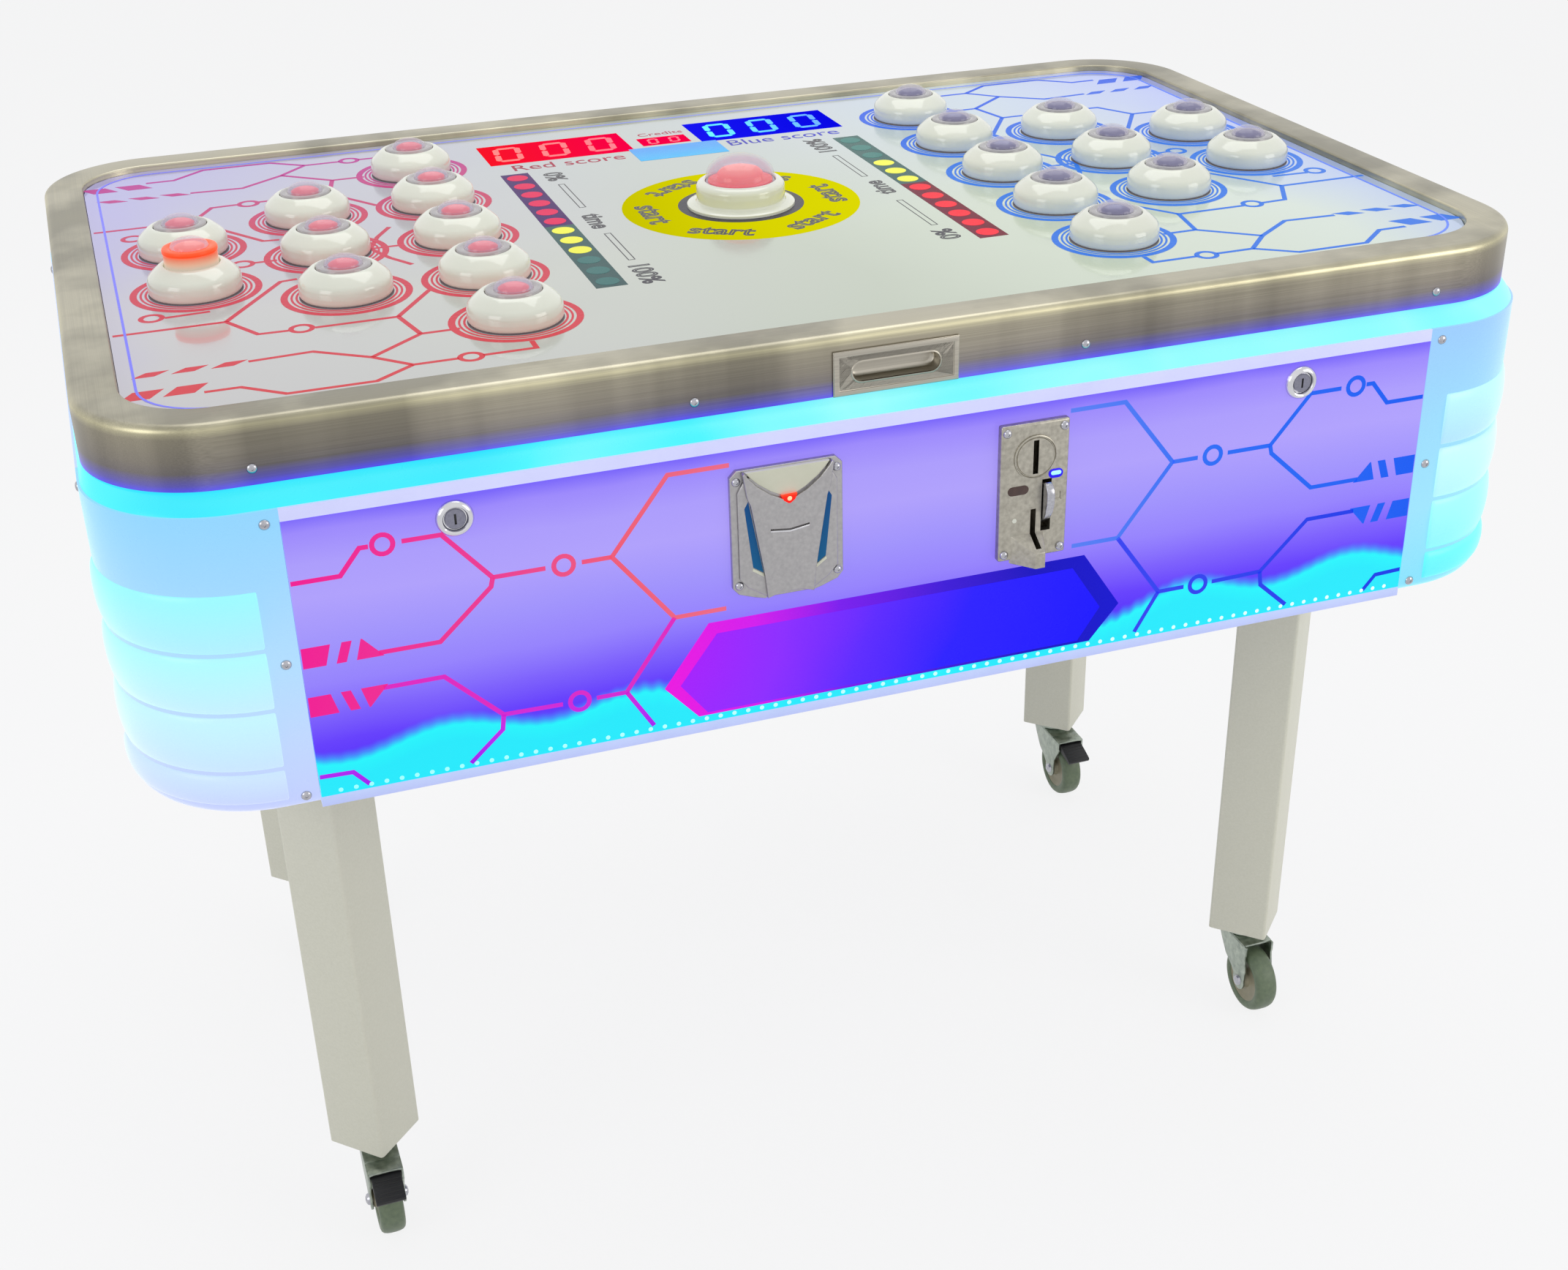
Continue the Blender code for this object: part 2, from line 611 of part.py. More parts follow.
def make_playfield():
    width = well_width - 2 * RUNNING_GAP
    depth = well_depth - 2 * RUNNING_GAP
    corner = well_corner - RUNNING_GAP
    board = slab("playfield_board", width, depth, board_bottom, board_top, PRINT, corner=corner)
    cover = slab("playfield_cover", width, depth, cover_bottom, cover_top, CLEAR, corner=corner)
    holes = hole_cutters("button_hole", BARREL_R + HOLE_CLEARANCE, START_BARREL_R + HOLE_CLEARANCE,
                         board_bottom - 0.01, cover_top + 0.01)
    cut(board, *holes)
    cut(cover, *holes)
    for index, (x, y, wide, deep) in enumerate(DISPLAYS):
        cut(board, block(f"window_{index}", (x - wide / 2, y - deep / 2, board_bottom - 0.01),
                         (x + wide / 2, y + deep / 2, board_top + 0.001)))


def make_display_board():
    low_x = min(x - wide / 2 for x, y, wide, deep in DISPLAYS) - DISPLAY_MARGIN
    high_x = max(x + wide / 2 for x, y, wide, deep in DISPLAYS) + DISPLAY_MARGIN
    low_y = min(y - deep / 2 for x, y, wide, deep in DISPLAYS) - DISPLAY_MARGIN
    high_y = max(y + deep / 2 for x, y, wide, deep in DISPLAYS) + DISPLAY_MARGIN
    top = board_bottom - GAP
    unit = block("display_board", (low_x, low_y, top - DISPLAY_PCB), (high_x, high_y, top), CIRCUIT)
    for index, (x, y, wide, deep) in enumerate(DISPLAYS):
        half_x = wide / 2 - RUNNING_GAP
        half_y = deep / 2 - RUNNING_GAP
        fuse(unit, block(f"digits_{index}", (x - half_x, y - half_y, top - DISPLAY_PCB / 2),
                         (x + half_x, y + half_y, board_top)))


def housing_profile():
    """One player button housing: from the cup's floor up its bore, over the lip and down the outside."""
    bore = PLUNGER_R + RUNNING_GAP
    base = cover_top + GAP
    floor = cover_top - HOUSING_DROP
    top = cover_top + HOUSING_HEIGHT
    return [(0, floor + HOUSING_FLOOR), (bore, floor + HOUSING_FLOOR), (bore, top), (bore + 0.0015, top),
            (HOUSING_R * 0.90, cover_top + HOUSING_HEIGHT * 0.75),
            (HOUSING_R, cover_top + HOUSING_HEIGHT * 0.38), (HOUSING_R * 0.96, base), (BARREL_R, base),
            (BARREL_R, floor), (0, floor)]


def make_button_bank(side, name):
    """Ten housings on the mounting plate that clamps them under the board."""
    places = button_places(side)
    low_x = min(x for x, y in places) - BANK_MARGIN
    high_x = max(x for x, y in places) + BANK_MARGIN
    half_y = max(y for x, y in places) + BANK_MARGIN
    plate_top = board_bottom - RIM_SHEET - 2 * GAP
    bank = block(name, (low_x, -half_y, plate_top - BANK_PLATE), (high_x, half_y, plate_top), WHITE)
    for index, (x, y) in enumerate(places):
        cut(bank, rod(f"{name}_hole_{index}", BARREL_R - 0.002, (x, y, plate_top - 0.01), "Z", 0.02,
                      steps=BUTTON_STEPS))
    for index, (x, y) in enumerate(places):
        housing = turned(f"{name}_housing_{index}", housing_profile(), (x, y, 0), steps=BUTTON_STEPS)
        fuse(bank, housing)


def player_dome(name, place, mat, raised):
    """A clear plunger: domed top, flange, skirt that slides in the housing, and a stem down to its switch."""
    lift = BUTTON_TRAVEL if raised else 0.0
    top = HOUSING_HEIGHT - 0.0007
    foot = HOUSING_FLOOR + RUNNING_GAP - HOUSING_DROP
    profile = [(0, top + DOME_RISE), (DOME_R * 0.62, top + DOME_RISE * 0.72), (DOME_R, top), (PLUNGER_R, top),
               (PLUNGER_R, top - SKIRT), (PLUNGER_STEM_R, top - SKIRT), (PLUNGER_STEM_R, foot), (0, foot)]
    return turned(name, profile, (place[0], place[1], cover_top + lift), mat, steps=BUTTON_STEPS)


def make_start_button():
    bore = START_PLUNGER_R + RUNNING_GAP
    base = cover_top + GAP
    top = cover_top + START_HEIGHT
    floor = cover_top - HOUSING_DROP
    housing = [(0, floor + HOUSING_FLOOR), (bore, floor + HOUSING_FLOOR), (bore, top), (bore + 0.0015, top),
               (START_BODY_R * 0.94, top - 0.008), (START_BODY_R, base + 0.006),
               (START_BODY_R + 0.002, base + 0.004), (START_FLANGE_R, base + 0.003), (START_FLANGE_R, base),
               (START_BARREL_R, base), (START_BARREL_R, floor), (0, floor)]
    turned("start_button_housing", housing, (0, 0, 0), WHITE, steps=START_STEPS)
    seat = START_HEIGHT + START_DOME_SEAT
    foot = START_TRAVEL + HOUSING_FLOOR + RUNNING_GAP - HOUSING_DROP
    crown = []
    for angle in (0, 25, 50, 75):
        crown.append((START_PLUNGER_R * math.sin(math.radians(angle)),
                      seat + START_DOME_RISE * math.cos(math.radians(angle))))
    plunger = crown + [(START_PLUNGER_R, seat), (START_PLUNGER_R, seat - START_SKIRT),
                       (START_STEM_R, seat - START_SKIRT), (START_STEM_R, foot), (0, foot)]
    turned("start_dome", plunger, (0, 0, cover_top), LENS, steps=START_STEPS)


def make_buttons():
    """The red player's outer column has its front plunger popped up; the others are latched down."""
    for side, color, mat in ((-1, "red", LENS), (1, "blue", LENS_BLUE)):
        make_button_bank(side, f"{color}_button_bank")
        for number, place in enumerate(button_places(side), start=1):
            raised = color == "red" and number == 9
            player_dome(f"{color}_dome_{number:02d}", place, mat, raised)
    make_start_button()


# ------------------------------------------------------------------------------------------------
# Service panel and what it carries
# ------------------------------------------------------------------------------------------------
def make_service_panel():
    low = panel_bottom + GAP
    high = panel_top - GAP
    front = -half_depth
    panel = block("front_service_panel", (-panel_half + GAP, front, low),
                  (panel_half - GAP, front + PANEL_SHEET, high), LILAC, (0, front, low))
    margin = CUTOUT_MARGIN
    coin_top = panel_top - COIN_TOP
    coin_bottom = coin_top - COIN_HEIGHT
    cut(panel, block("coin_cutout", (COIN_X - COIN_WIDTH / 2 + margin, front - 0.01, coin_bottom + margin),
                     (COIN_X + COIN_WIDTH / 2 - margin, front + 0.02, coin_top - margin)))
    reader_top = panel_top - READER_TOP
    cut(panel, block("reader_cutout", (READER_X - READER_WIDTH / 2 + 2 * margin, front - 0.01,
                                       reader_top - READER_HEIGHT + 2 * margin),
                     (READER_X + READER_WIDTH / 2 - 2 * margin, front + 0.02, reader_top - 2 * margin)))
    for side in (-1, 1):
        cut(panel, rod(f"lock_hole_{side}", LOCK_R + RUNNING_GAP,
                       (side * LOCK_X, front - 0.01, panel_top - LOCK_DROP), "Y", 0.03))


def make_coin_acceptor():
    front = -half_depth - GAP
    face = front - COIN_PLATE
    top = panel_top - COIN_TOP
    bottom = top - COIN_HEIGHT
    middle = (COIN_X, front, (top + bottom) / 2)
    left = COIN_X - COIN_WIDTH / 2
    right = COIN_X + COIN_WIDTH / 2
    plate = block("coin_acceptor", (left, face, bottom), (right, front, top), CAST, middle)
    margin = CUTOUT_MARGIN + GAP
    fuse(plate, block("acceptor_body", (left + margin, front - 0.001, bottom + margin),
                      (right - margin, front + COIN_BODY_DEPTH, top - margin)))
    disc_z = top - COIN_DISC_DROP
    fuse(plate, rod("slot_disc", COIN_DISC_R, (COIN_X, face - 0.0015, disc_z), "Y", 0.004, steps=24))
    slot_width, slot_height = COIN_SLOT
    cut(plate, block("coin_slot", (COIN_X - slot_width / 2, face - 0.01, disc_z - slot_height / 2),
                     (COIN_X + slot_width / 2, front + 0.016, disc_z + slot_height / 2)))
    lip_half = 0.0125
    lip_top = bottom + 0.024
    lip = outline("return_lip", [(face + 0.001, lip_top), (face - COIN_LIP, lip_top - 0.012),
                                 (face - COIN_LIP, bottom - 0.004), (face + 0.001, bottom - 0.001)], "X",
                  COIN_X - lip_half, COIN_X + lip_half)
    fuse(plate, lip)
    cut(plate, block("return_channel", (COIN_X - slot_width / 2, face - COIN_LIP + 0.004, bottom + 0.006),
                     (COIN_X + slot_width / 2, front + 0.010, bottom + 0.046)))
    lever_low, lever_high = lever_span()
    pocket_half = LEVER_WIDTH / 2 + 2 * RUNNING_GAP
    cut(plate, block("lever_pocket", (lever_middle() - pocket_half, face - 0.01, lever_low - 0.004),
                     (lever_middle() + pocket_half, face + 0.020, lever_high + 0.003)))


def lever_span():
    bottom = panel_top - COIN_TOP - COIN_HEIGHT
    return bottom + LEVER_SPAN[0], bottom + LEVER_SPAN[1]


def lever_middle():
    return COIN_X + LEVER_OFFSET


def make_coin_lever():
    """The reject lever: a curved fin that turns on a cross pin in the pocket of the plate."""
    face = -half_depth - GAP - COIN_PLATE
    low, high = lever_span()
    pivot = (face + 0.008, low + 0.008)
    fin = arc(pivot, 0.007, 0, -160, 5) + [(face - 0.010, high - 0.016), (face - 0.0085, high - 0.004),
                                           (face - 0.002, high), (face + 0.004, high - 0.004)]
    middle = lever_middle()
    lever = outline("coin_return_lever", fin, "X", middle - LEVER_WIDTH / 2, middle + LEVER_WIDTH / 2, CAST,
                    (middle, *pivot))
    pin_half = LEVER_WIDTH / 2 + 2 * RUNNING_GAP - GAP
    fuse(lever, rod("lever_pin", 0.002, (middle - pin_half, *pivot), "X", 2 * pin_half, steps=12))


def make_card_reader():
    front = -half_depth - GAP
    top = panel_top - READER_TOP
    bottom = top - READER_HEIGHT
    half = READER_WIDTH / 2
    chin = half * 0.52
    cut_corner = 0.006
    low = bottom - READER_CHIN
    face = [(READER_X - half, bottom), (READER_X - chin, low), (READER_X - chin * 0.4, bottom - 0.004),
            (READER_X + chin * 0.4, bottom - 0.004), (READER_X + chin, low),
            (READER_X + half, bottom), (READER_X + half, top - cut_corner),
            (READER_X + half - cut_corner, top), (READER_X - half + cut_corner, top),
            (READER_X - half, top - cut_corner)]
    reader = outline("card_reader", face, "Y", front - READER_PLATE * 0.5, front, CAST,
                     (READER_X, front, (top + bottom) / 2))
    inner = [(READER_X + (x - READER_X) * 0.80, z - 0.001 if z < bottom + 0.001 else z) for x, z in face]
    fuse(reader, outline("reader_face", inner, "Y", front - READER_PLATE, front - 0.001))
    margin = 2 * CUTOUT_MARGIN + GAP
    fuse(reader, block("reader_body", (READER_X - half + margin, front - 0.001, bottom + margin),
                       (READER_X + half - margin, front + READER_BODY_DEPTH, top - margin)))
    face_y = front - READER_PLATE
    cut(reader, block("card_groove", (READER_X - 0.016, face_y - 0.01, top - 0.066),
                      (READER_X + 0.016, face_y + 0.0015, top - 0.064)))


def make_locks():
    """Each lock turns as one piece: head, barrel and cam. Turned up, the cam hooks behind the top strip."""
    front = -half_depth
    z = panel_top - LOCK_DROP
    cam_front = front + PANEL_SHEET + GAP
    for side, name in ((-1, "left_cam_lock"), (1, "right_cam_lock")):
        x = side * LOCK_X
        lock = rod(name, LOCK_HEAD_R, (x, front - GAP - LOCK_HEAD, z), "Y", LOCK_HEAD, CHROME, (x, front, z),
                   steps=20)
        fuse(lock, rod(f"{name}_barrel", LOCK_R, (x, front - 0.002, z), "Y", PANEL_SHEET + CAM_SHEET + 0.004))
        tip = x - side * CAM_LENGTH
        heel = x + side * 0.007
        fuse(lock, block(f"{name}_cam", (min(tip, heel), cam_front, z - CAM_WIDTH / 2),
                         (max(tip, heel), cam_front + CAM_SHEET, z + CAM_WIDTH / 2)))
        cut(lock, block(f"{name}_key_slot", (x - 0.0008, front - 0.01, z - 0.004),
                        (x + 0.0008, front - 0.001, z + 0.004)))


# ------------------------------------------------------------------------------------------------
# Legs and casters
# ------------------------------------------------------------------------------------------------
def make_leg(x_side, y_side, name):
    top = panel_bottom + LEG_INSIDE
    leg = leg_block(name, x_side, y_side, LEG_SIDE, leg_bottom, top, CREAM)
    fuse(leg, leg_block(f"{name}_flange", x_side, y_side, LEG_FLANGE, panel_bottom + GAP,
                        panel_bottom + GAP + LEG_FLANGE_SHEET))
    cut(leg, leg_block(f"{name}_inside", x_side, y_side, LEG_SIDE - 2 * LEG_WALL,
                       leg_bottom + LEG_FLANGE_SHEET, top + 0.01))
    foot = (x_side * leg_x, y_side * leg_y, leg_bottom - 0.01)
    cut(leg, rod(f"{name}_stem_hole", STEM_R + RUNNING_GAP, foot, "Z", 0.03))


def make_caster(x_side, y_side, name, braked):
    """Swivel fork with its axle, wheel and, on a braked caster, the pedal. All trail towards the front."""
    x = x_side * leg_x
    y = y_side * leg_y
    origin = (x, y, leg_bottom)
    head_top = leg_bottom - GAP
    head_bottom = head_top - CASTER_HEAD
    fork = rod(f"{name}_fork", CASTER_HEAD_R, (x, y, head_bottom), "Z", CASTER_HEAD, ZINC, origin, steps=20)
    fuse(fork, rod(f"{name}_stem", STEM_R, (x, y, head_top - 0.002), "Z", STEM_LENGTH, steps=12))
    reach = PEDAL_PIN_REACH + 0.007 if braked else 0.038
    cheek_half = cheek_x + CHEEK_SHEET / 2
    fuse(fork, block(f"{name}_crown", (x - cheek_half, y - CROWN_FRONT, head_bottom - 0.003),
                     (x + cheek_half, y + CROWN_BACK, head_bottom + 0.001)))
    axle = (y + axle_y, WHEEL_R)
    shape = [(y + CROWN_BACK, head_bottom), (y + CROWN_BACK, head_bottom - 0.008)]
    shape += arc(axle, CHEEK_EYE_R, 10, -190, 8)
    shape += [(y - reach, head_bottom - 0.014), (y - reach, head_bottom)]
    for side in (-1, 1):
        near = x + side * cheek_x - CHEEK_SHEET / 2
        fuse(fork, outline(f"{name}_cheek_{side}", shape, "X", near, near + CHEEK_SHEET))
    half_axle = cheek_half + 0.003
    fuse(fork, rod(f"{name}_axle", AXLE_R, (x - half_axle, *axle), "X", 2 * half_axle, steps=12))
    for side in (-1, 1):
        start = x + (cheek_half - 0.0005 if side > 0 else -cheek_half - 0.004)
        fuse(fork, rod(f"{name}_nut_{side}", 0.0065, (start, *axle), "X", 0.0045, steps=6))
    bore = AXLE_R + RUNNING_GAP
    half = WHEEL_WIDTH / 2
    hub = half + CHEEK_GAP - 0.0006
    flank = [(bore, hub), (0.009, hub), (0.011, half - 0.004), (0.025, half - 0.004), (0.027, half),
             (WHEEL_R, half - 0.005)]
    wheel = flank + [(radius, -across) for radius, across in reversed(flank)]
    turned(f"{name}_wheel", wheel, (x, *axle), GREEN, steps=WHEEL_STEPS, axis="X")
    if braked:
        make_pedal(name, fork, x, y, head_bottom)


def make_pedal(name, fork, x, y, head_bottom):
    pin = (y - PEDAL_PIN_REACH, head_bottom - 0.008)
    half = cheek_x - CHEEK_SHEET / 2 - RUNNING_GAP
    tread = [(pin[0] + 0.005, pin[1] + 0.0035), (pin[0] - 0.004, pin[1] + 0.0045),
             (pin[0] - PEDAL_LENGTH, pin[1] - 0.006), (pin[0] - PEDAL_LENGTH, pin[1] - 0.011),
             (pin[0] - 0.003, pin[1] - 0.0045), (pin[0] + 0.005, pin[1] - 0.0040)]
    pedal = outline(f"{name}_brake_pedal", tread, "X", x - half, x + half, BLACK, (x, *pin))
    outer = cheek_x + CHEEK_SHEET / 2
    fuse(pedal, rod(f"{name}_pedal_pin", PEDAL_PIN_R, (x - outer, *pin), "X", 2 * outer, steps=12))
    cut(fork, rod(f"{name}_pin_hole", PEDAL_PIN_R + RUNNING_GAP, (x - 0.03, *pin), "X", 0.06, steps=12))


# ------------------------------------------------------------------------------------------------
# Assembly
# ------------------------------------------------------------------------------------------------
CORNERS = ((-1, -1, "front_left"), (1, -1, "front_right"), (-1, 1, "rear_left"), (1, 1, "rear_right"))
BRAKED = ("front_left", "rear_right")


def main():
    make_cabinet()
    make_panels()
    for x_side, y_side, corner in CORNERS:
        make_fairing(x_side, y_side, f"{corner}_fairing")
        make_leg(x_side, y_side, f"{corner}_leg")
        make_caster(x_side, y_side, f"{corner}_caster", corner in BRAKED)
    make_light_band()
    make_cabinet_contents()
    make_rim()
    make_pull_handle()
    make_playfield()
    make_display_board()
    make_buttons()
    make_service_panel()
    make_coin_acceptor()
    make_coin_lever()
    make_card_reader()
    make_locks()
    place = bpy.data.objects.new("table", None)
    PARTS.objects.link(place)
    place.location = (0, MIDDLE_Y, 0)
    for group in (PARTS, CUTTERS):
        for obj in group.objects:
            if obj is not place:
                obj.parent = place


main()
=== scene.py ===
# %% [markdown]
# # A two-player pop-up button table
# The table is a waist-high game cabinet on four castered legs. Its lid is a stainless rim round a printed, lit
# playfield with ten pop-up buttons for each player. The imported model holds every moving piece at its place. This
# lesson gives those pieces their looks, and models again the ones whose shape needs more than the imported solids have.

import math

import bmesh
import bpy
from mathutils import Matrix, Vector


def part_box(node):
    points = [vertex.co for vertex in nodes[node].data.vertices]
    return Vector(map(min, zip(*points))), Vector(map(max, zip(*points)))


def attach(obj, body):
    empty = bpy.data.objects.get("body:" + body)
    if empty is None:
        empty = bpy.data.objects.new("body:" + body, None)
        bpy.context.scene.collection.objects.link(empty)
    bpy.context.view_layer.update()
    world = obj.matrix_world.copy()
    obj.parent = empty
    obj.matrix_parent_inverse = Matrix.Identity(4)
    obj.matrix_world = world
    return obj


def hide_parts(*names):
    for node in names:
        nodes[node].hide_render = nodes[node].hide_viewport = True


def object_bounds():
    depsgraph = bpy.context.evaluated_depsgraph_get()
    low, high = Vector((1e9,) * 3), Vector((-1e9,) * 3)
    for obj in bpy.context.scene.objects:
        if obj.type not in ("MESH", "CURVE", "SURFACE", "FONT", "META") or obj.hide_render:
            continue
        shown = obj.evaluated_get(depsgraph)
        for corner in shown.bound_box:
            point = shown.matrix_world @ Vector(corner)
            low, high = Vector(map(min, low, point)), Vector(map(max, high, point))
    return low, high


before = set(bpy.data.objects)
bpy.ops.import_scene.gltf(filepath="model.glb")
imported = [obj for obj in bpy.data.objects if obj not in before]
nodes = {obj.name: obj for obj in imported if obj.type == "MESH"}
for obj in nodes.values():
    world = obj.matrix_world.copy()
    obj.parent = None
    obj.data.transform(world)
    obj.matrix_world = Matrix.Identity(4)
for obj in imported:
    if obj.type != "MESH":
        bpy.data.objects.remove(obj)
cad_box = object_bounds()
print("packed model:", [round(v, 3) for corner in cad_box for v in corner])

# %% [markdown]
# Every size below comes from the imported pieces, so the new ones sit where the old ones were. The table's own middle
# lies a little behind the origin, because the coin acceptor sticks out at the front. Pieces are drawn about the
# table's middle and moved there when they are finished.

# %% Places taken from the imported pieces
rim_low, rim_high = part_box("lid_rim")
MIDDLE = Vector((0, (rim_low.y + rim_high.y) / 2, 0))
RIM_HALF = ((rim_high.x - rim_low.x) / 2, (rim_high.y - rim_low.y) / 2)
RIM_TOP = rim_high.z
RIM_BOTTOM = rim_low.z
RIM_CORNER = 0.105
RIM_BAND = 0.038

cover_low, cover_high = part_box("playfield_cover")
COVER_TOP = cover_high.z
COVER_HALF = ((cover_high.x - cover_low.x) / 2, (cover_high.y - cover_low.y) / 2)
BOARD_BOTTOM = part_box("playfield_board")[0].z

panel_low, panel_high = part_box("front_service_panel")
PANEL_FRONT = panel_low.y - MIDDLE.y
PANEL_LOW = panel_low.z
PANEL_TOP = panel_high.z
PANEL_HALF = panel_high.x

body_low, body_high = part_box("cabinet_body")
side_low, side_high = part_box("right_side_panel")
CABINET_BOTTOM = body_low.z
CABINET_TOP = body_high.z
CABINET_HALF_DEPTH = (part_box("rear_panel")[1].y - panel_low.y) / 2
SIDE_HALF = (side_high.y - side_low.y) / 2
SIDE_FACE = side_high.x

SIDES = ((-1, "red"), (1, "blue"))
CORNERS = (("front_left", -1, -1), ("front_right", 1, -1), ("rear_left", -1, 1), ("rear_right", 1, 1))
BUTTON_COLUMNS = ((0.281, 5), (0.4045, 3), (0.528, 2))
BUTTON_PITCH = 0.1225


def button_places(side):
    """Middles of one player's buttons, numbered from the column nearest the middle, front to back."""
    return [(side * across, (row - (rows - 1) / 2) * BUTTON_PITCH)
            for across, rows in BUTTON_COLUMNS for row in range(rows)]


print("cover top", round(COVER_TOP, 4), "panel", round(PANEL_LOW, 4), round(PANEL_TOP, 4))

# %% [markdown]
# ## Camera
# The camera stands at the left front, a little above the lid, and is rolled by a degree and a half. It comes first,
# so that each piece can be judged from it as it is made.

# %% Camera
VIEW_DIRECTION = Vector((0.2825, 0.8346, -0.4729))
ROLL = math.radians(-1.403)
camera_data = bpy.data.cameras.new("camera")
camera_data.lens = 47.03
camera_data.sensor_width = 36
camera = bpy.data.objects.new("camera", camera_data)
bpy.context.collection.objects.link(camera)
camera.location = (-0.6028, -1.8693, 1.5013)
aim = VIEW_DIRECTION.to_track_quat("-Z", "Y").to_matrix() @ Matrix.Rotation(ROLL, 3, "Z")
camera.rotation_euler = aim.to_euler()
bpy.context.scene.camera = camera
print("camera at", tuple(round(v, 3) for v in camera.location))

# %% [markdown]
# ## Light and floor
# A showroom is bright and even, so large soft lamps stand left, right and overhead. The lit plastic of the table adds
# its own glow. The floor is plain and pale. It shows nearly white to the camera, with a trace of the table's shadow.

# %% Lamps
LAMP_TARGET = Vector((0, 0, 0.6))
for name, place, size, power, color in (
        ("overhead_lamp", (0.2, 0.6, 3.4), (2.6, 1.8), 26, (1, 1, 1)),
        ("left_lamp", (-3.0, -1.6, 1.9), (1.6, 1.6), 16, (1, 1, 1)),
        ("right_lamp", (2.4, -2.4, 1.6), (1.6, 1.6), 20, (1.0, 0.97, 0.92))):
    data = bpy.data.lights.new(name, "AREA")
    data.shape = "RECTANGLE"
    data.size, data.size_y = size
    data.energy = power
    data.color = color
    lamp = bpy.data.objects.new(name, data)
    bpy.context.collection.objects.link(lamp)
    lamp.location = place
    lamp.rotation_euler = (LAMP_TARGET - Vector(place)).to_track_quat("-Z", "Y").to_euler()
print("lamps:", len(bpy.data.lights))


# %% World and floor
def add_node(tree, kind, x=0, y=0, inputs=None, **settings):
    """A node at a place, with its settings and the constants on its sockets."""
    made = tree.nodes.new(kind)
    made.location = (x, y)
    for key, value in settings.items():
        setattr(made, key, value)
    for socket, value in (inputs or {}).items():
        made.inputs[socket].default_value = value
    return made


def add_math(tree, operation, x, y, inputs=None, **settings):
    return add_node(tree, "ShaderNodeMath", x, y, inputs, operation=operation, **settings)


def wire(tree, *links):
    """Joins nodes; each link is (from node, output, to node, input)."""
    for source, output, target, socket in links:
        tree.links.new(source.outputs[output], target.inputs[socket])


def seen_directly(tree):
    """One where the camera looks straight at a surface, or sees it in metal or through clear plastic."""
    path = add_node(tree, "ShaderNodeLightPath", -900)
    straight = add_math(tree, "MAXIMUM", -700, 0)
    either = add_math(tree, "MAXIMUM", -500, 0)
    wire(tree, (path, "Is Camera Ray", straight, 0), (path, "Is Transmission Ray", straight, 1),
         (straight, 0, either, 0), (path, "Is Glossy Ray", either, 1))
    return either


def choose_shader(tree, share, first, second, output_kind):
    """Ends a tree with a mix of two shaders, by the share of the second."""
    choose = add_node(tree, "ShaderNodeMixShader", 0)
    out = add_node(tree, output_kind, 200)
    wire(tree, (share, 0, choose, 0), (first, 0, choose, 1), (second, 0, choose, 2), (choose, 0, out, 0))


world = bpy.data.worlds.new("studio")
bpy.context.scene.world = world
world.use_nodes = True
tree = world.node_tree
tree.nodes.clear()
room = add_node(tree, "ShaderNodeBackground", -200, -100, {"Color": (0.86, 0.88, 0.93, 1), "Strength": 0.55})
white = add_node(tree, "ShaderNodeBackground", -200, 100, {"Color": (1, 1, 1, 1)})
choose_shader(tree, seen_directly(tree), room, white, "ShaderNodeOutputWorld")

WHITE_SHARE = 0.84
floor_bm = bmesh.new()
bmesh.ops.create_grid(floor_bm, x_segments=1, y_segments=1, size=60)
floor_mesh = bpy.data.meshes.new("floor")
floor_bm.to_mesh(floor_mesh)
floor_bm.free()
floor = bpy.data.objects.new("floor", floor_mesh)
bpy.context.collection.objects.link(floor)
floor.location = (0, 0, cad_box[0].z - 0.0005)
floor_material = bpy.data.materials.new("pale_floor")
floor_material.use_nodes = True
tree = floor_material.node_tree
tree.nodes.clear()
matte = add_node(tree, "ShaderNodeBsdfDiffuse", -200, -100, {"Color": (0.82, 0.82, 0.83, 1)})
glow = add_node(tree, "ShaderNodeEmission", -200, 100)
share = add_math(tree, "MULTIPLY", -400, 0, {1: WHITE_SHARE})
wire(tree, (seen_directly(tree), 0, share, 0))
choose_shader(tree, share, matte, glow, "ShaderNodeOutputMaterial")
floor_mesh.materials.append(floor_material)
bpy.context.scene.view_settings.view_transform = "Standard"
print("floor at", round(floor.location.z, 4))

# %% [markdown]
# ## Shaping tools
# Most parts of the table are folded sheet, turned plastic or flat print. A few small tools cover them: a rounded box,
# a turned profile, a profile carried round the rounded table, and printed lines and shapes. Each gives a bmesh, and
# `piece` joins several of them into one finished object that rides on its body.


# %% Joining and finishing
def at(*place):
    return Matrix.Translation(place)


def turn(degrees, axis):
    return Matrix.Rotation(math.radians(degrees), 4, axis)


def new_object(name, bm=None):
    """An object in the scene; a bmesh given for it is used up."""
    obj = bpy.data.objects.new(name, bpy.data.meshes.new(name))
    if bm is not None:
        bm.to_mesh(obj.data)
        bm.free()
    bpy.context.collection.objects.link(obj)
    return obj


def join(parts):
    """One bmesh from several; each may be a bmesh or (bmesh, matrix)."""
    whole = bmesh.new()
    for part in parts:
        bm, place = part if isinstance(part, tuple) else (part, None)
        mesh = bpy.data.meshes.new("part")
        bm.to_mesh(mesh)
        if place is not None:
            mesh.transform(place)
        whole.from_mesh(mesh)
        bpy.data.meshes.remove(mesh)
    return whole


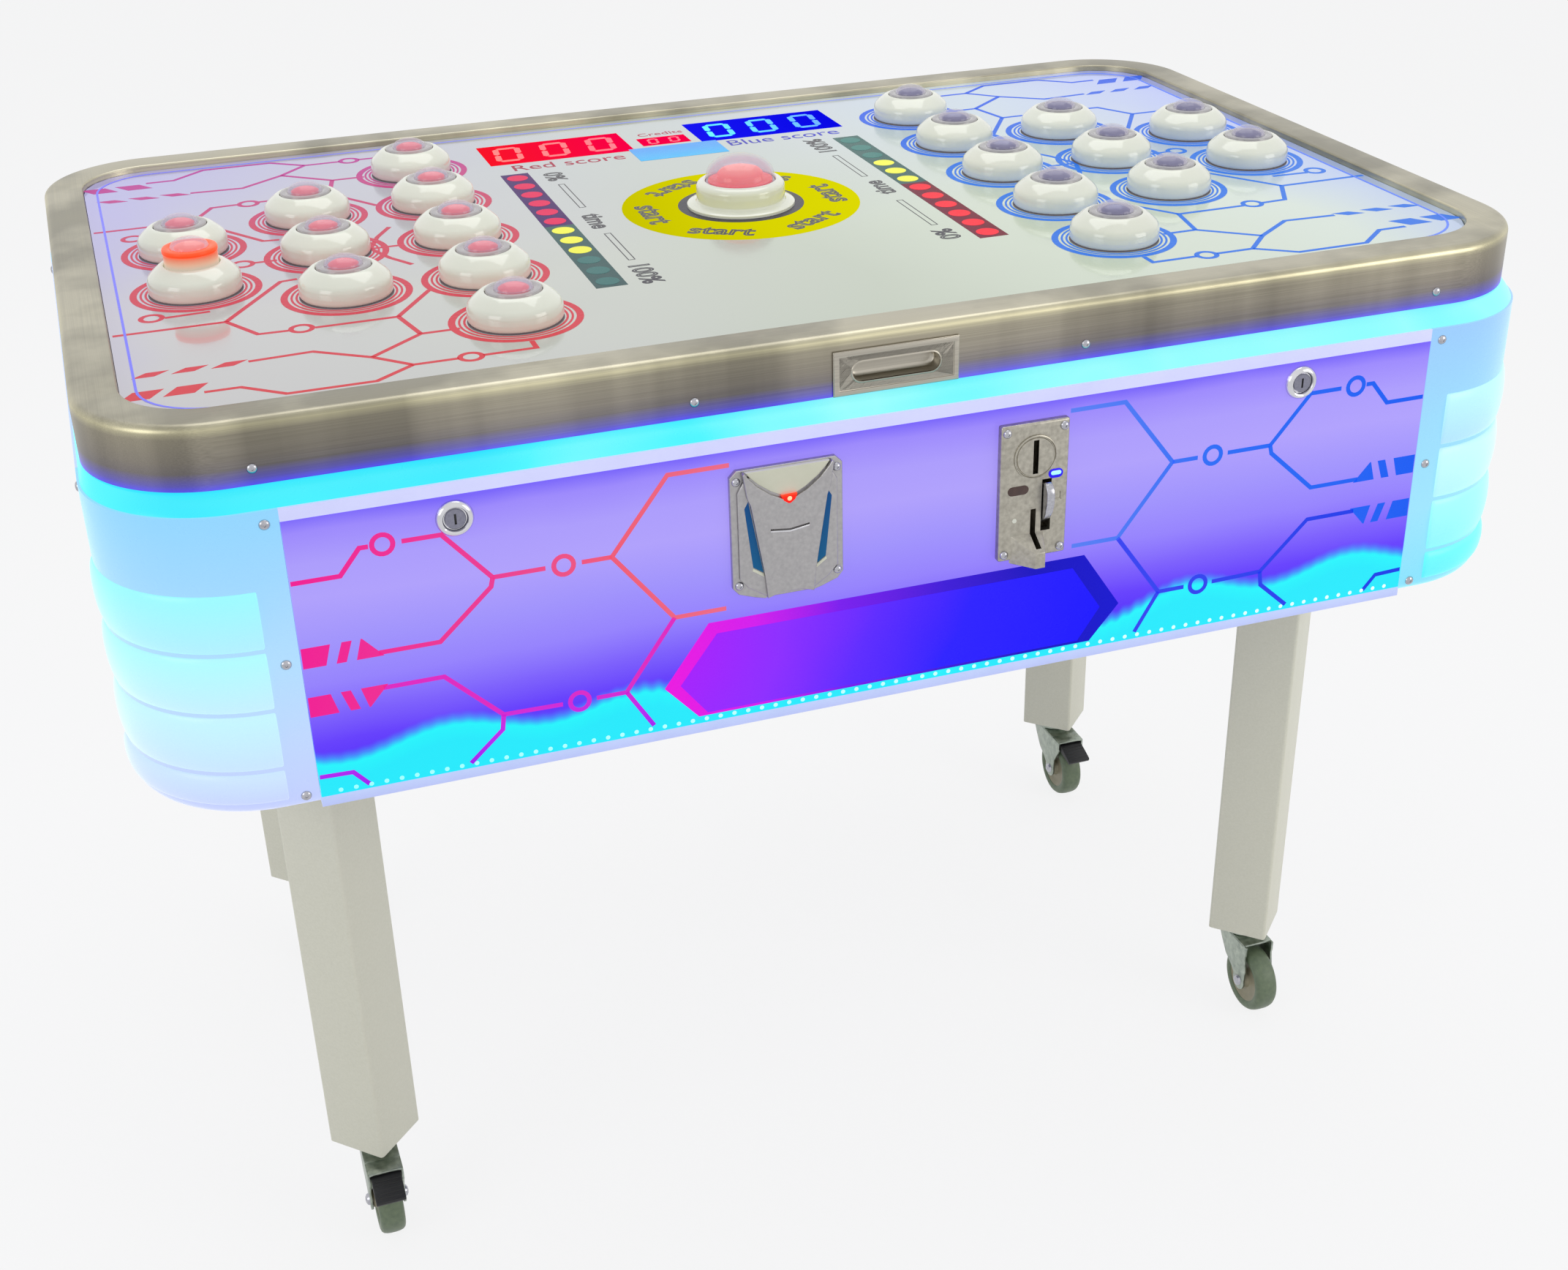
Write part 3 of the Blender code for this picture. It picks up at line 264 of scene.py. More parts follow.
def piece(name, parts, material, body, replaces=(), sharp=35, place=None):
    """Finishes a part: moved to its place, smooth but for its sharp edges, riding on its body."""
    bm = join(parts if place is None else [(part, place) for part in parts])
    bmesh.ops.translate(bm, vec=MIDDLE, verts=bm.verts)
    obj = new_object(name, bm)
    obj.data.shade_smooth()
    obj.data.set_sharp_from_angle(angle=math.radians(sharp))
    obj.data.materials.append(material)
    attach(obj, body)
    if replaces:
        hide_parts(*replaces)
    return obj


def new_parts(geom, kind):
    return [g for g in geom if isinstance(g, kind)]


def closed_ring(bm, points):
    """Vertices at the points, and the edges that close them into a ring."""
    verts = [bm.verts.new(point) for point in points]
    return verts, [bm.edges.new(pair) for pair in zip(verts, verts[1:] + verts[:1])]


# %% Boxes and turned shapes
def box(low, high, radius=0.0, steps=3, upright_only=False):
    """A block between two corners with rounded edges."""
    bm = bmesh.new()
    bmesh.ops.create_cube(bm, size=1)
    bmesh.ops.scale(bm, vec=[b - a for a, b in zip(low, high)], verts=bm.verts)
    bmesh.ops.translate(bm, vec=[(a + b) / 2 for a, b in zip(low, high)], verts=bm.verts)
    if radius > 0:
        edges = [e for e in bm.edges if not upright_only or abs(e.verts[0].co.z - e.verts[1].co.z) > 1e-6]
        bmesh.ops.bevel(bm, geom=edges, offset=radius, segments=steps, profile=0.5, affect="EDGES", material=-1)
    return bm


def turned(profile, place=(0, 0, 0), axis="Z", steps=40, closed=False):
    """Spins (radius, height) points about Z, then lays the shape along X or Y if wanted."""
    bm = bmesh.new()
    verts = [bm.verts.new((radius, 0, height)) for radius, height in profile]
    edges = [bm.edges.new(pair) for pair in zip(verts, verts[1:])]
    if closed:
        edges.append(bm.edges.new((verts[-1], verts[0])))
    bmesh.ops.spin(bm, geom=verts + edges, cent=(0, 0, 0), axis=(0, 0, 1), angle=math.tau, steps=steps, use_merge=True)
    bmesh.ops.remove_doubles(bm, verts=bm.verts, dist=1e-6)
    bmesh.ops.recalc_face_normals(bm, faces=bm.faces)
    lay = {"X": turn(90, "Y"), "Y": turn(90, "X"), "Z": Matrix.Identity(4)}[axis]
    bmesh.ops.transform(bm, matrix=at(*place) @ lay, verts=bm.verts)
    return bm


# %% Sections carried along a path
def carried(profile, start, moves):
    """Carries a closed profile along moves, each a straight run or a (centre, degrees, steps) corner."""
    bm = bmesh.new()
    first = Vector(start) + Vector(profile[0])
    verts, ring = closed_ring(bm, [Vector(start) + Vector(point) for point in profile])
    open_end = bmesh.ops.contextual_create(bm, geom=ring)["faces"]
    for kind, *how in moves:
        if kind == "go":
            grown = bmesh.ops.extrude_edge_only(bm, edges=ring)["geom"]
            verts = new_parts(grown, bmesh.types.BMVert)
            bmesh.ops.translate(bm, vec=how[0], verts=verts)
            moved = set(verts)
            ring = [e for e in new_parts(grown, bmesh.types.BMEdge) if set(e.verts) <= moved]
        else:
            centre, angle, steps = how
            last = bmesh.ops.spin(bm, geom=verts + ring, cent=centre, axis=(0, 0, 1), angle=math.radians(angle),
                                  steps=steps)["geom_last"]
            verts, ring = new_parts(last, bmesh.types.BMVert), new_parts(last, bmesh.types.BMEdge)
    if (verts[0].co - first).length < 1e-4:
        bmesh.ops.delete(bm, geom=open_end, context="FACES_ONLY")
    else:
        bmesh.ops.contextual_create(bm, geom=ring)
    bmesh.ops.remove_doubles(bm, verts=bm.verts, dist=1e-5)
    bmesh.ops.recalc_face_normals(bm, faces=bm.faces)
    return bm


ROUND_STEPS = 24


def round_table(profile, half, corner):
    """A closed (inset, height) profile carried all the way round a rounded rectangle."""
    x, y = half[0] - corner, half[1] - corner
    moves = []
    for run, centre in (((0, 2 * y, 0), (x, y, 0)), ((-2 * x, 0, 0), (-x, y, 0)), ((0, -2 * y, 0), (-x, -y, 0)),
                        ((2 * x, 0, 0), (x, -y, 0))):
        moves += [("go", run), ("turn", centre, 90, ROUND_STEPS)]
    return carried([(-inset, 0, height) for inset, height in profile], (half[0], -y, 0), moves)


# %% Flat outlines, arcs and cuts
def outline(points, low, high, axis="Z", bevel=0.0):
    """A flat outline with thickness. Points are (x, y), (x, z) for axis Y or (y, z) for axis X."""
    bm = bmesh.new()
    place = {"Z": lambda a, b: (a, b, low), "Y": lambda a, b: (a, low, b), "X": lambda a, b: (low, a, b)}[axis]
    bmesh.ops.contextual_create(bm, geom=closed_ring(bm, [place(*point) for point in points])[1])
    grown = bmesh.ops.extrude_face_region(bm, geom=list(bm.faces), use_keep_orig=True)["geom"]
    along = Vector([high - low if axis == letter else 0 for letter in "XYZ"])
    bmesh.ops.translate(bm, vec=along, verts=new_parts(grown, bmesh.types.BMVert))
    bmesh.ops.recalc_face_normals(bm, faces=bm.faces)
    if bevel > 0:
        rim = [e for e in bm.edges if len(e.link_faces) == 2 and e.calc_face_angle(0) > math.radians(50)
               and abs((e.verts[0].co - e.verts[1].co).normalized().dot(along.normalized())) < 0.1]
        bmesh.ops.bevel(bm, geom=rim, offset=bevel, segments=3, profile=0.5, affect="EDGES", material=-1)
    return bm


def circle_points(middle, radius, count=24, first=0.0, last=360.0):
    """Points on a circle or an arc, angles in degrees; a whole circle isn't closed twice."""
    stops = count if abs(last - first) >= 360 else count + 1
    angles = [math.radians(first + (last - first) * i / count) for i in range(stops)]
    return [(middle[0] + radius * math.cos(a), middle[1] + radius * math.sin(a)) for a in angles]


def cut_away(bm, *cutters):
    """Takes other shapes out of a bmesh with a Boolean."""
    holder = new_object("whole", bm)
    tools = [new_object("cutter", cutter) for cutter in cutters]
    for tool in tools:
        change = holder.modifiers.new("cut", "BOOLEAN")
        change.object = tool
        change.operation = "DIFFERENCE"
        change.solver = "EXACT"
    mesh = bpy.data.meshes.new_from_object(holder.evaluated_get(bpy.context.evaluated_depsgraph_get()))
    left = bmesh.new()
    left.from_mesh(mesh)
    for obj in [holder, *tools]:
        bpy.data.objects.remove(obj, do_unlink=True)
    bpy.data.meshes.remove(mesh)
    return left


# %% [markdown]
# Printed lines are ribbons a tenth of a millimetre thick. A curve with a small rectangle as its bevel object gives
# mitred corners for free, and a text object gives the letters. Both are made into meshes at once, on the flat, and
# a matrix then lays them on the playfield or stands them on a panel.

# %% Printed ribbons, shapes and words
INK = 0.0001
OUTLINE = 0.036


def curve_mesh(curve):
    holder = bpy.data.objects.new("ink", curve)
    bpy.context.collection.objects.link(holder)
    mesh = bpy.data.meshes.new_from_object(holder.evaluated_get(bpy.context.evaluated_depsgraph_get()))
    bpy.data.objects.remove(holder, do_unlink=True)
    bm = bmesh.new()
    bm.from_mesh(mesh)
    bpy.data.meshes.remove(mesh)
    bmesh.ops.remove_doubles(bm, verts=bm.verts, dist=1e-6)
    bmesh.ops.recalc_face_normals(bm, faces=bm.faces)
    return bm


def add_path(curve, points, closed):
    spline = curve.splines.new("POLY")
    spline.points.add(len(points) - 1)
    for point, (x, y) in zip(spline.points, points):
        point.co = (x, y, 0, 1)
    spline.use_cyclic_u = closed


def ribbons(paths, width, loops=()):
    """Lines of one width on the flat; loops are closed."""
    section = bpy.data.curves.new("section", "CURVE")
    add_path(section, ((-width / 2, 0), (width / 2, 0), (width / 2, INK), (-width / 2, INK)), True)
    section_holder = bpy.data.objects.new("section", section)
    bpy.context.collection.objects.link(section_holder)
    curve = bpy.data.curves.new("lines", "CURVE")
    curve.dimensions = "2D"
    curve.bevel_mode = "OBJECT"
    curve.bevel_object = section_holder
    curve.use_fill_caps = True
    for points in paths:
        add_path(curve, points, False)
    for points in loops:
        add_path(curve, points, True)
    bm = curve_mesh(curve)
    bpy.data.objects.remove(section_holder, do_unlink=True)
    return bm


# %% Words and print places
def words(text, size, middle=(0, 0), angle=0.0, outline_only=False):
    """A word on the flat, centred on a point and turned by an angle in degrees."""
    curve = bpy.data.curves.new("word", "FONT")
    curve.body = text
    curve.size = size
    curve.align_x = "CENTER"
    curve.align_y = "CENTER"
    curve.extrude = INK / 2
    curve.resolution_u = 3
    if outline_only:
        curve.fill_mode = "NONE"
        curve.extrude = 0
        curve.bevel_depth = size * OUTLINE
        curve.bevel_resolution = 0
    bm = curve_mesh(curve)
    if outline_only:
        bmesh.ops.scale(bm, vec=(1, 1, INK / (2 * size * OUTLINE)), verts=bm.verts)
    bmesh.ops.transform(bm, matrix=at(*middle, INK / 2) @ turn(angle, "Z"), verts=bm.verts)
    return bm


def layer(number):
    """The place of an ink layer on the playfield."""
    return at(0, 0, COVER_TOP + number * INK)


ON_FRONT = at(0, PANEL_FRONT, 0) @ turn(90, "X")
ON_REAR = at(0, -PANEL_FRONT, 0) @ turn(180, "Z") @ turn(90, "X")

# %% [markdown]
# ## Finishes
# Real surfaces are never one flat colour. Two node groups are shared by all the materials: `grain` gives a noise that
# can be stretched into brush marks, and `lit_along` turns the distance along one direction into a 0 to 1 value, a
# little uneven, which colour ramps use for plastic that is lit from inside.


# %% Shared node groups
def group_of(name, **inputs):
    """A node group with named inputs and one value as its output."""
    made = bpy.data.node_groups.new(name, "ShaderNodeTree")
    for label, value in inputs.items():
        kind = "NodeSocketVector" if isinstance(value, tuple) else "NodeSocketFloat"
        made.interface.new_socket(label, in_out="INPUT", socket_type=kind).default_value = value
    made.interface.new_socket("Value", in_out="OUTPUT", socket_type="NodeSocketFloat")
    return made, add_node(made, "NodeGroupInput", -900), add_node(made, "NodeGroupOutput", 500)


grain, given, result = group_of("grain", Stretch=(1, 1, 1), Scale=50.0, Contrast=1.0)
where = add_node(grain, "ShaderNodeTexCoord", -900, 300)
stretched = add_node(grain, "ShaderNodeVectorMath", -600, 200, operation="MULTIPLY")
noise = add_node(grain, "ShaderNodeTexNoise", -300, 100, {"Detail": 4})
centred = add_math(grain, "SUBTRACT", -100, 100, {1: 0.5})
scaled = add_math(grain, "MULTIPLY_ADD", 100, 100, {2: 0.5}, use_clamp=True)
wire(grain, (where, "Object", stretched, 0), (given, "Stretch", stretched, 1), (stretched, 0, noise, "Vector"),
     (given, "Scale", noise, "Scale"), (noise, "Fac", centred, 0), (centred, 0, scaled, 0),
     (given, "Contrast", scaled, 1), (scaled, 0, result, "Value"))

lit_along, given, result = group_of("lit_along", Direction=(0, 0, 1), Start=0.6, End=0.9, Unevenness=0.02, Lumps=9.0)
where = add_node(lit_along, "ShaderNodeTexCoord", -900, 300)
distance = add_node(lit_along, "ShaderNodeVectorMath", -700, 300, operation="DOT_PRODUCT")
noise = add_node(lit_along, "ShaderNodeTexNoise", -700, 100)
wave = add_math(lit_along, "SUBTRACT", -500, 100, {1: 0.5})
sway = add_math(lit_along, "MULTIPLY_ADD", -300, 200)
span = add_node(lit_along, "ShaderNodeMapRange", 0, 200)
wire(lit_along, (where, "Object", distance, 0), (given, "Direction", distance, 1), (where, "Object", noise, "Vector"),
     (given, "Lumps", noise, "Scale"), (noise, "Fac", wave, 0), (wave, 0, sway, 0), (given, "Unevenness", sway, 1),
     (distance, "Value", sway, 2), (sway, 0, span, "Value"), (given, "Start", span, "From Min"),
     (given, "End", span, "From Max"), (span, 0, result, "Value"))
print("node groups:", [g.name for g in bpy.data.node_groups])

# %% Building a material
RIGHT, BACK, FORWARD, UP = (1, 0, 0), (0, 1, 0), (0, -1, 0), (0, 0, 1)
MIXED = 2


def linear(shade):
    """A screen colour, 0 to 255, or one grey value, as the linear colour that shaders use."""
    if not isinstance(shade, tuple):
        return (shade, shade, shade, 1.0)
    values = [value / 255 for value in shade]
    return (*(v / 12.92 if v <= 0.04045 else ((v + 0.055) / 1.055) ** 2.4 for v in values), 1.0)


def surface(name, **sockets):
    """A Principled material with constants on its own sockets."""
    mat = bpy.data.materials.new(name)
    mat.use_nodes = True
    shader = mat.node_tree.nodes["Principled BSDF"]
    for label, value in sockets.items():
        shader.inputs[label.replace("_", " ")].default_value = value
    return mat, mat.node_tree, shader


# %% Nodes that take their values at once
def add_grain(tree, stretch=(1, 1, 1), scale=50.0, contrast=1.0, x=-900, y=0):
    return add_node(tree, "ShaderNodeGroup", x, y, {"Stretch": stretch, "Scale": scale, "Contrast": contrast},
                    node_tree=grain)


def add_lit(tree, direction, start, end, unevenness=0.02, lumps=9.0, x=-900, y=0):
    return add_node(tree, "ShaderNodeGroup", x, y, {"Direction": direction, "Start": start, "End": end,
                                                    "Unevenness": unevenness, "Lumps": lumps}, node_tree=lit_along)


def add_span(tree, x, y, low, high, first=0.0, last=1.0):
    return add_node(tree, "ShaderNodeMapRange", x, y, {"From Min": low, "From Max": high, "To Min": first,
                                                       "To Max": last})


def add_mix(tree, x, y, share, first, second, **settings):
    """A mix of two colours; each of the three inputs is (node, output) or a constant."""
    made = add_node(tree, "ShaderNodeMix", x, y, data_type="RGBA", **settings)
    for socket, value in ((0, share), (6, first), (7, second)):
        if isinstance(value, tuple) and len(value) == 2:
            wire(tree, (*value, made, socket))
        else:
            made.inputs[socket].default_value = value
    return made


# %% Ramps, relief and whole finishes
def ramp(tree, source, output, stops, x=-400, y=0):
    """A colour ramp; stops are (place, shade), or bare shades that are spread evenly."""
    if not isinstance(stops[0], tuple) or len(stops[0]) == 3:
        stops = [(i / (len(stops) - 1), shade) for i, shade in enumerate(stops)]
    made = add_node(tree, "ShaderNodeValToRGB", x, y)
    elements = made.color_ramp.elements
    while len(elements) < len(stops):
        elements.new(0.5)
    for element, (place, shade) in zip(elements, stops):
        element.position = place
        element.color = linear(shade)
    wire(tree, (source, output, made, "Fac"))
    return made


def follow(tree, shader, socket, source, output, stops, x=-400, y=0):
    """A socket of the shader follows a value through a ramp."""
    wire(tree, (ramp(tree, source, output, stops, x, y), 0, shader, socket))


def add_bump(tree, shader, source, output, strength, distance):
    bump = add_node(tree, "ShaderNodeBump", -300, -400, {"Strength": strength, "Distance": distance})
    wire(tree, (source, output, bump, "Height"), (bump, "Normal", shader, "Normal"))


def grained(name, dark, light, rough, stretch=(1, 1, 1), scale=50.0, contrast=1.0, bump=0.0, distance=0.0002,
            **sockets):
    """A finish whose colour, roughness and relief all follow one grain."""
    mat, tree, shader = surface(name, **sockets)
    pattern = add_grain(tree, stretch, scale, contrast)
    follow(tree, shader, "Base Color", pattern, "Value", (dark, light))
    follow(tree, shader, "Roughness", pattern, "Value", rough, y=-200)
    if bump:
        add_bump(tree, shader, pattern, "Value", bump, distance)
    return mat


def dress(finishes):
    """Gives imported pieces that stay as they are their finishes."""
    for name, mat in finishes.items():
        nodes[name].data.materials.clear()
        nodes[name].data.materials.append(mat)


# %% [markdown]
# The rim is brushed stainless. The brush marks run along each side, so on the front and rear they stretch along X and
# on the ends along Y. A ramp on the distance from the middle chooses between the two grains. A ramp on the height
# paints a highlight along the fold and a bluish shade towards the foot. The sheet is darker in broad bands, and its
# lower edge has a painted deep blue glow from the light band.

# %% Brushed rim
RIM_STEEL, tree, shader = surface("brushed_stainless_rim", Metallic=1.0, Emission_Strength=0.7)
along_x = add_grain(tree, (5, 1500, 1500), 1.0, 1.5, -1200, 200)
along_y = add_grain(tree, (1500, 5, 1500), 1.0, 1.5, -1200, 0)
where = add_node(tree, "ShaderNodeTexCoord", -1400, 500)
parts = add_node(tree, "ShaderNodeSeparateXYZ", -1200, 500)
away = add_math(tree, "ABSOLUTE", -1000, 500)
end = add_span(tree, -800, 500, 0.57, 0.60)
both = add_node(tree, "ShaderNodeMix", -700, 200, data_type="FLOAT")
wire(tree, (where, "Object", parts, 0), (parts, "X", away, 0), (away, 0, end, "Value"), (end, 0, both, "Factor"),
     (along_x, "Value", both, "A"), (along_y, "Value", both, "B"))
height = add_lit(tree, UP, RIM_BOTTOM, RIM_TOP, 0.003, 8, -1200, 800)
broad = add_grain(tree, (9, 9, 0.6), 1.0, 3.0, -1200, 1000)
# Painted highlight along the fold and painted bluish shade towards the foot, by height.
shades = ramp(tree, height, "Value", [(0.0, (122, 116, 150)), (0.18, (136, 130, 138)), (0.45, (160, 153, 142)),
                                      (0.80, (176, 169, 150)), (0.92, (222, 215, 180)), (1.0, (190, 185, 166))],
              -800, 800)
marks = ramp(tree, both, "Result", [(0.1, 0.74), (0.9, 1.0)], -500, 300)
bands = ramp(tree, broad, "Value", [(0.15, 0.60), (0.75, 1.0)], -800, 1000)
painted_light_toned = add_mix(tree, -300, 600, 1.0, (shades, 0), (bands, 0), blend_type="MULTIPLY")
brushed_with_painted_light = add_mix(tree, -100, 500, 1.0, (painted_light_toned, MIXED), (marks, 0), blend_type="MULTIPLY")
wire(tree, (brushed_with_painted_light, MIXED, shader, "Base Color"))
follow(tree, shader, "Roughness", both, "Result", (0.30, 0.42), y=-200)
# Painted deep blue glow along the lower edge, standing in for the light band's spill.
follow(tree, shader, "Emission Color", height, "Value", [(0.0, (40, 10, 255)), (0.10, (24, 8, 170)),
                                                         (0.28, (0, 0, 0))], -800, 1200)
add_bump(tree, shader, both, "Result", 0.12, 0.00003)
print("rim finish:", RIM_STEEL.name)

# %% [markdown]
# The other metals are simpler: one grain each. Cast plates are matt and slightly mottled, chrome is nearly smooth,
# zinc plate has a faint greenish spangle.

# %% Metals
CAST = grained("die_cast_plate", (150, 146, 136), (190, 186, 174), (0.30, 0.42), scale=260, contrast=1.6, bump=0.25,
               distance=0.00005, Metallic=1.0)
PULL_STEEL = grained("brushed_pull_plate", (160, 154, 144), (192, 187, 174), (0.26, 0.36), (5, 1300, 1300), 1.0, 1.4,
                     bump=0.1, distance=0.00003, Metallic=1.0)
CHROME = grained("polished_chrome", (196, 196, 200), (222, 222, 226), (0.08, 0.16), scale=90, Metallic=1.0)
SCREW_STEEL = grained("screw_steel", (150, 150, 158), (200, 200, 206), (0.16, 0.30), scale=400, Metallic=1.0)
PLUG_STEEL = grained("lock_plug_steel", (112, 112, 128), (150, 150, 164), (0.24, 0.36), scale=400, Metallic=1.0)
ZINC = grained("zinc_plate", (128, 138, 130), (184, 192, 180), (0.28, 0.44), scale=160, contrast=1.8, bump=0.12,
               distance=0.00005, Metallic=1.0)
SHEET_ZINC = grained("galvanised_sheet", (140, 144, 148), (186, 190, 192), (0.30, 0.46), scale=45, contrast=2.2,
                     Metallic=1.0)
CASE = grained("ribbed_aluminium", (150, 152, 154), (188, 190, 192), (0.34, 0.46), (200, 6, 200), 1.0, 1.6,
               Metallic=1.0)
print("metals made:", CAST.name, "to", CASE.name)

# %% [markdown]
# Paint and plastic are not metallic, so their colour is their own. Powder coat has an orange-peel relief; the button
# bodies are glossy moulded plastic under a clear coat, very slightly warm.

# %% Paint, plastic and rubber
CREAM = grained("cream_powder_coat", (232, 230, 208), (244, 242, 222), (0.34, 0.46), scale=420, contrast=1.2,
                bump=0.25, distance=0.00006)
WHITE_GLOSS = grained("glossy_button_body", (238, 240, 222), (246, 248, 232), (0.10, 0.16), scale=30,
                      Coat_Weight=0.6, Coat_Roughness=0.04)
BLACK = grained("black_plastic", (16, 16, 18), (30, 30, 32), (0.42, 0.55), scale=300, bump=0.2, distance=0.00006)
# The dark gasket colour is painted shadow: the dark line where each button's bun meets the playfield.
BUN_SHADOW = grained("painted_bun_shadow", (88, 78, 86), (112, 100, 108), (0.5, 0.6), scale=200)
GREEN = grained("green_tread", (96, 112, 88), (128, 142, 112), (0.36, 0.5), scale=180, contrast=1.5, bump=0.15,
                distance=0.0001)
CORE = grained("tan_wheel_core", (150, 144, 118), (182, 174, 146), (0.38, 0.5), scale=120, contrast=1.4)
CIRCUIT = grained("circuit_board", (14, 74, 44), (26, 96, 58), (0.35, 0.45), scale=240, contrast=2.0)
BOARD = grained("playfield_backing", (196, 186, 164), (216, 206, 184), (0.55, 0.65), (2, 30, 30), 6, 1.5)
print("materials so far:", len(bpy.data.materials))

# %% [markdown]
# Most of the table's outside is plastic with light strips behind it. Such plastic is brightest near its strips and
# changes hue away from them, so a colour ramp over the distance gives both its own colour and its glow. The glow is
# kept below full strength, because a lit surface that clips to white loses its hue.

# %% Plastic lit from inside
def shine_through(tree, shader, source, output, own):
    """The same colour as glow and, darker, as the plastic's own."""
    dim = add_mix(tree, -150, 300, 1.0, (source, output), (own, own, own, 1), blend_type="MULTIPLY")
    wire(tree, (source, output, shader, "Emission Color"), (dim, MIXED, shader, "Base Color"))


def add_gloss(tree, shader, scale, rough, x=-900):
    """A fine unevenness in how glossy a surface is."""
    follow(tree, shader, "Roughness", add_grain(tree, scale=scale, x=x, y=-300), "Value", rough, y=-200)


def lit(name, stops, direction=UP, start=0.0, end=1.0, glow=0.7, own=0.3, unevenness=0.01, lumps=9.0,
        rough=(0.22, 0.34), gleam=0.15, **sockets):
    """Plastic or ink lit from behind; stops are screen colours and gleam is its specular level."""
    mat, tree, shader = surface(name, Emission_Strength=glow, Specular_IOR_Level=gleam, **sockets)
    distance = add_lit(tree, direction, start, end, unevenness, lumps)
    shine_through(tree, shader, ramp(tree, distance, "Value", stops), "Color", own)
    add_gloss(tree, shader, 60, rough)
    return mat


# %% Light band and corner shells
BAND_GLOW = lit("cyan_light_band", ((30, 226, 254), (70, 246, 254), (150, 254, 254), (110, 252, 254), (20, 240, 254)),
                (0.35, 0.25, 0.6), 0.0, 1.1, glow=0.84, own=0.2, unevenness=0.9, lumps=5.0, gleam=0.4)
MILKY = {"own": 0.30, "unevenness": 0.02, "lumps": 14, "gleam": 0.4, "Subsurface_Weight": 0.15,
         "Subsurface_Radius": (0.02, 0.02, 0.02), "start": CABINET_BOTTOM, "end": CABINET_TOP}
SWELLING = {**MILKY, "unevenness": 0.006, "glow": 0.80}
LEFT_SHELL = lit("milky_corner_shell_left", [(0.0, (196, 206, 255)), (0.25, (192, 216, 255)), (0.5, (178, 222, 255)),
                                             (0.8, (158, 216, 255)), (1.0, (146, 214, 254))], glow=0.78, **MILKY)
RIGHT_SHELL = lit("milky_corner_shell_right", [(0.0, (132, 228, 254)), (0.35, (158, 230, 255)),
                                               (0.66, (156, 222, 254)), (1.0, (156, 206, 254))],
                  glow=0.76, **MILKY)
GROOVES = (0.7995, 0.7460, 0.6925, 0.6390, CABINET_BOTTOM + 0.012)


def swelling_stops(pale, painted_highlight):
    """Each swelling has a painted highlight near its top; both ends of the cabinet differ in hue from top to bottom."""
    stops = []
    for number, (top, bottom) in enumerate(zip(GROOVES, GROOVES[1:])):
        for level, colors in ((bottom + 0.003, pale), (top - 0.006, painted_highlight)):
            stops.append(((level - CABINET_BOTTOM) / (CABINET_TOP - CABINET_BOTTOM), colors[number]))
    return sorted(stops)


# Each swelling carries a painted highlight near its top, in place of the shading of its relief.
LEFT_SWELL = lit("milky_swelling_left", swelling_stops(
    [(176, 238, 255), (196, 238, 255), (200, 228, 255), (198, 212, 255)],
    [(156, 248, 255), (176, 250, 255), (196, 244, 255), (204, 228, 255)]), **SWELLING)
RIGHT_SWELL = lit("milky_swelling_right", swelling_stops(
    [(176, 226, 255), (180, 244, 255), (140, 244, 255), (96, 240, 255)],
    [(190, 248, 255), (200, 254, 255), (164, 254, 255), (110, 250, 255)]), **SWELLING)
print("shell materials:", LEFT_SHELL.name, RIGHT_SHELL.name)

# %% Inks, windows and lamps
LETTER = {"own": 0.6, "gleam": 0.05}
WINDOW = {"own": 0.06, "unevenness": 0.03, "rough": (0.5, 0.6), "gleam": 0.0}
PINK_INK = lit("pink_line_ink", [(0.0, (246, 20, 150)), (0.45, (240, 60, 150)), (0.75, (244, 96, 120)),
                                 (1.0, (240, 110, 140))], RIGHT, -0.52, -0.15, glow=0.75)
PURPLE_INK = lit("purple_line_ink", ((150, 20, 250), (190, 40, 252), (232, 40, 200)), start=0.60, end=0.66, glow=0.7)
BLUE_INK = lit("blue_line_ink", [(0.0, (92, 130, 248)), (0.4, (40, 110, 250)), (1.0, (12, 92, 246))],
               RIGHT, 0.15, 0.52, glow=0.75)
VIOLET_INK = lit("violet_line_ink", ((96, 60, 252), (60, 70, 252), (16, 60, 240)), RIGHT, -0.2, 0.5, glow=0.7)
RED_LINE = lit("red_playfield_ink", [(0.0, (198, 60, 170)), (0.35, (220, 76, 104)), (1.0, (232, 76, 84))],
               FORWARD, -0.36, 0.36, glow=0.5, own=0.4, gleam=0.05)
SKY_LINE = lit("blue_playfield_ink", ((40, 96, 244), (50, 130, 244), (56, 128, 244)),
               FORWARD, -0.36, 0.36, glow=0.55, own=0.35, gleam=0.05)
EDGE_LINE = lit("lilac_edge_line", ((120, 120, 250), (150, 160, 250), (90, 130, 252)),
                RIGHT, -0.6, 0.6, glow=0.7, own=0.3)
CRIMSON_INK = lit("crimson_letter_ink", ((176, 40, 72), (196, 60, 90)), RIGHT, -0.2, 0.05, glow=0.35, **LETTER)
INDIGO_INK = lit("indigo_letter_ink", ((70, 66, 190), (60, 60, 214)), RIGHT, 0.03, 0.2, glow=0.35, **LETTER)
GREY_INK = lit("grey_letter_ink", ((92, 90, 96), (104, 102, 104)), BACK, -0.2, 0.3, glow=0.15, own=0.8, gleam=0.05)
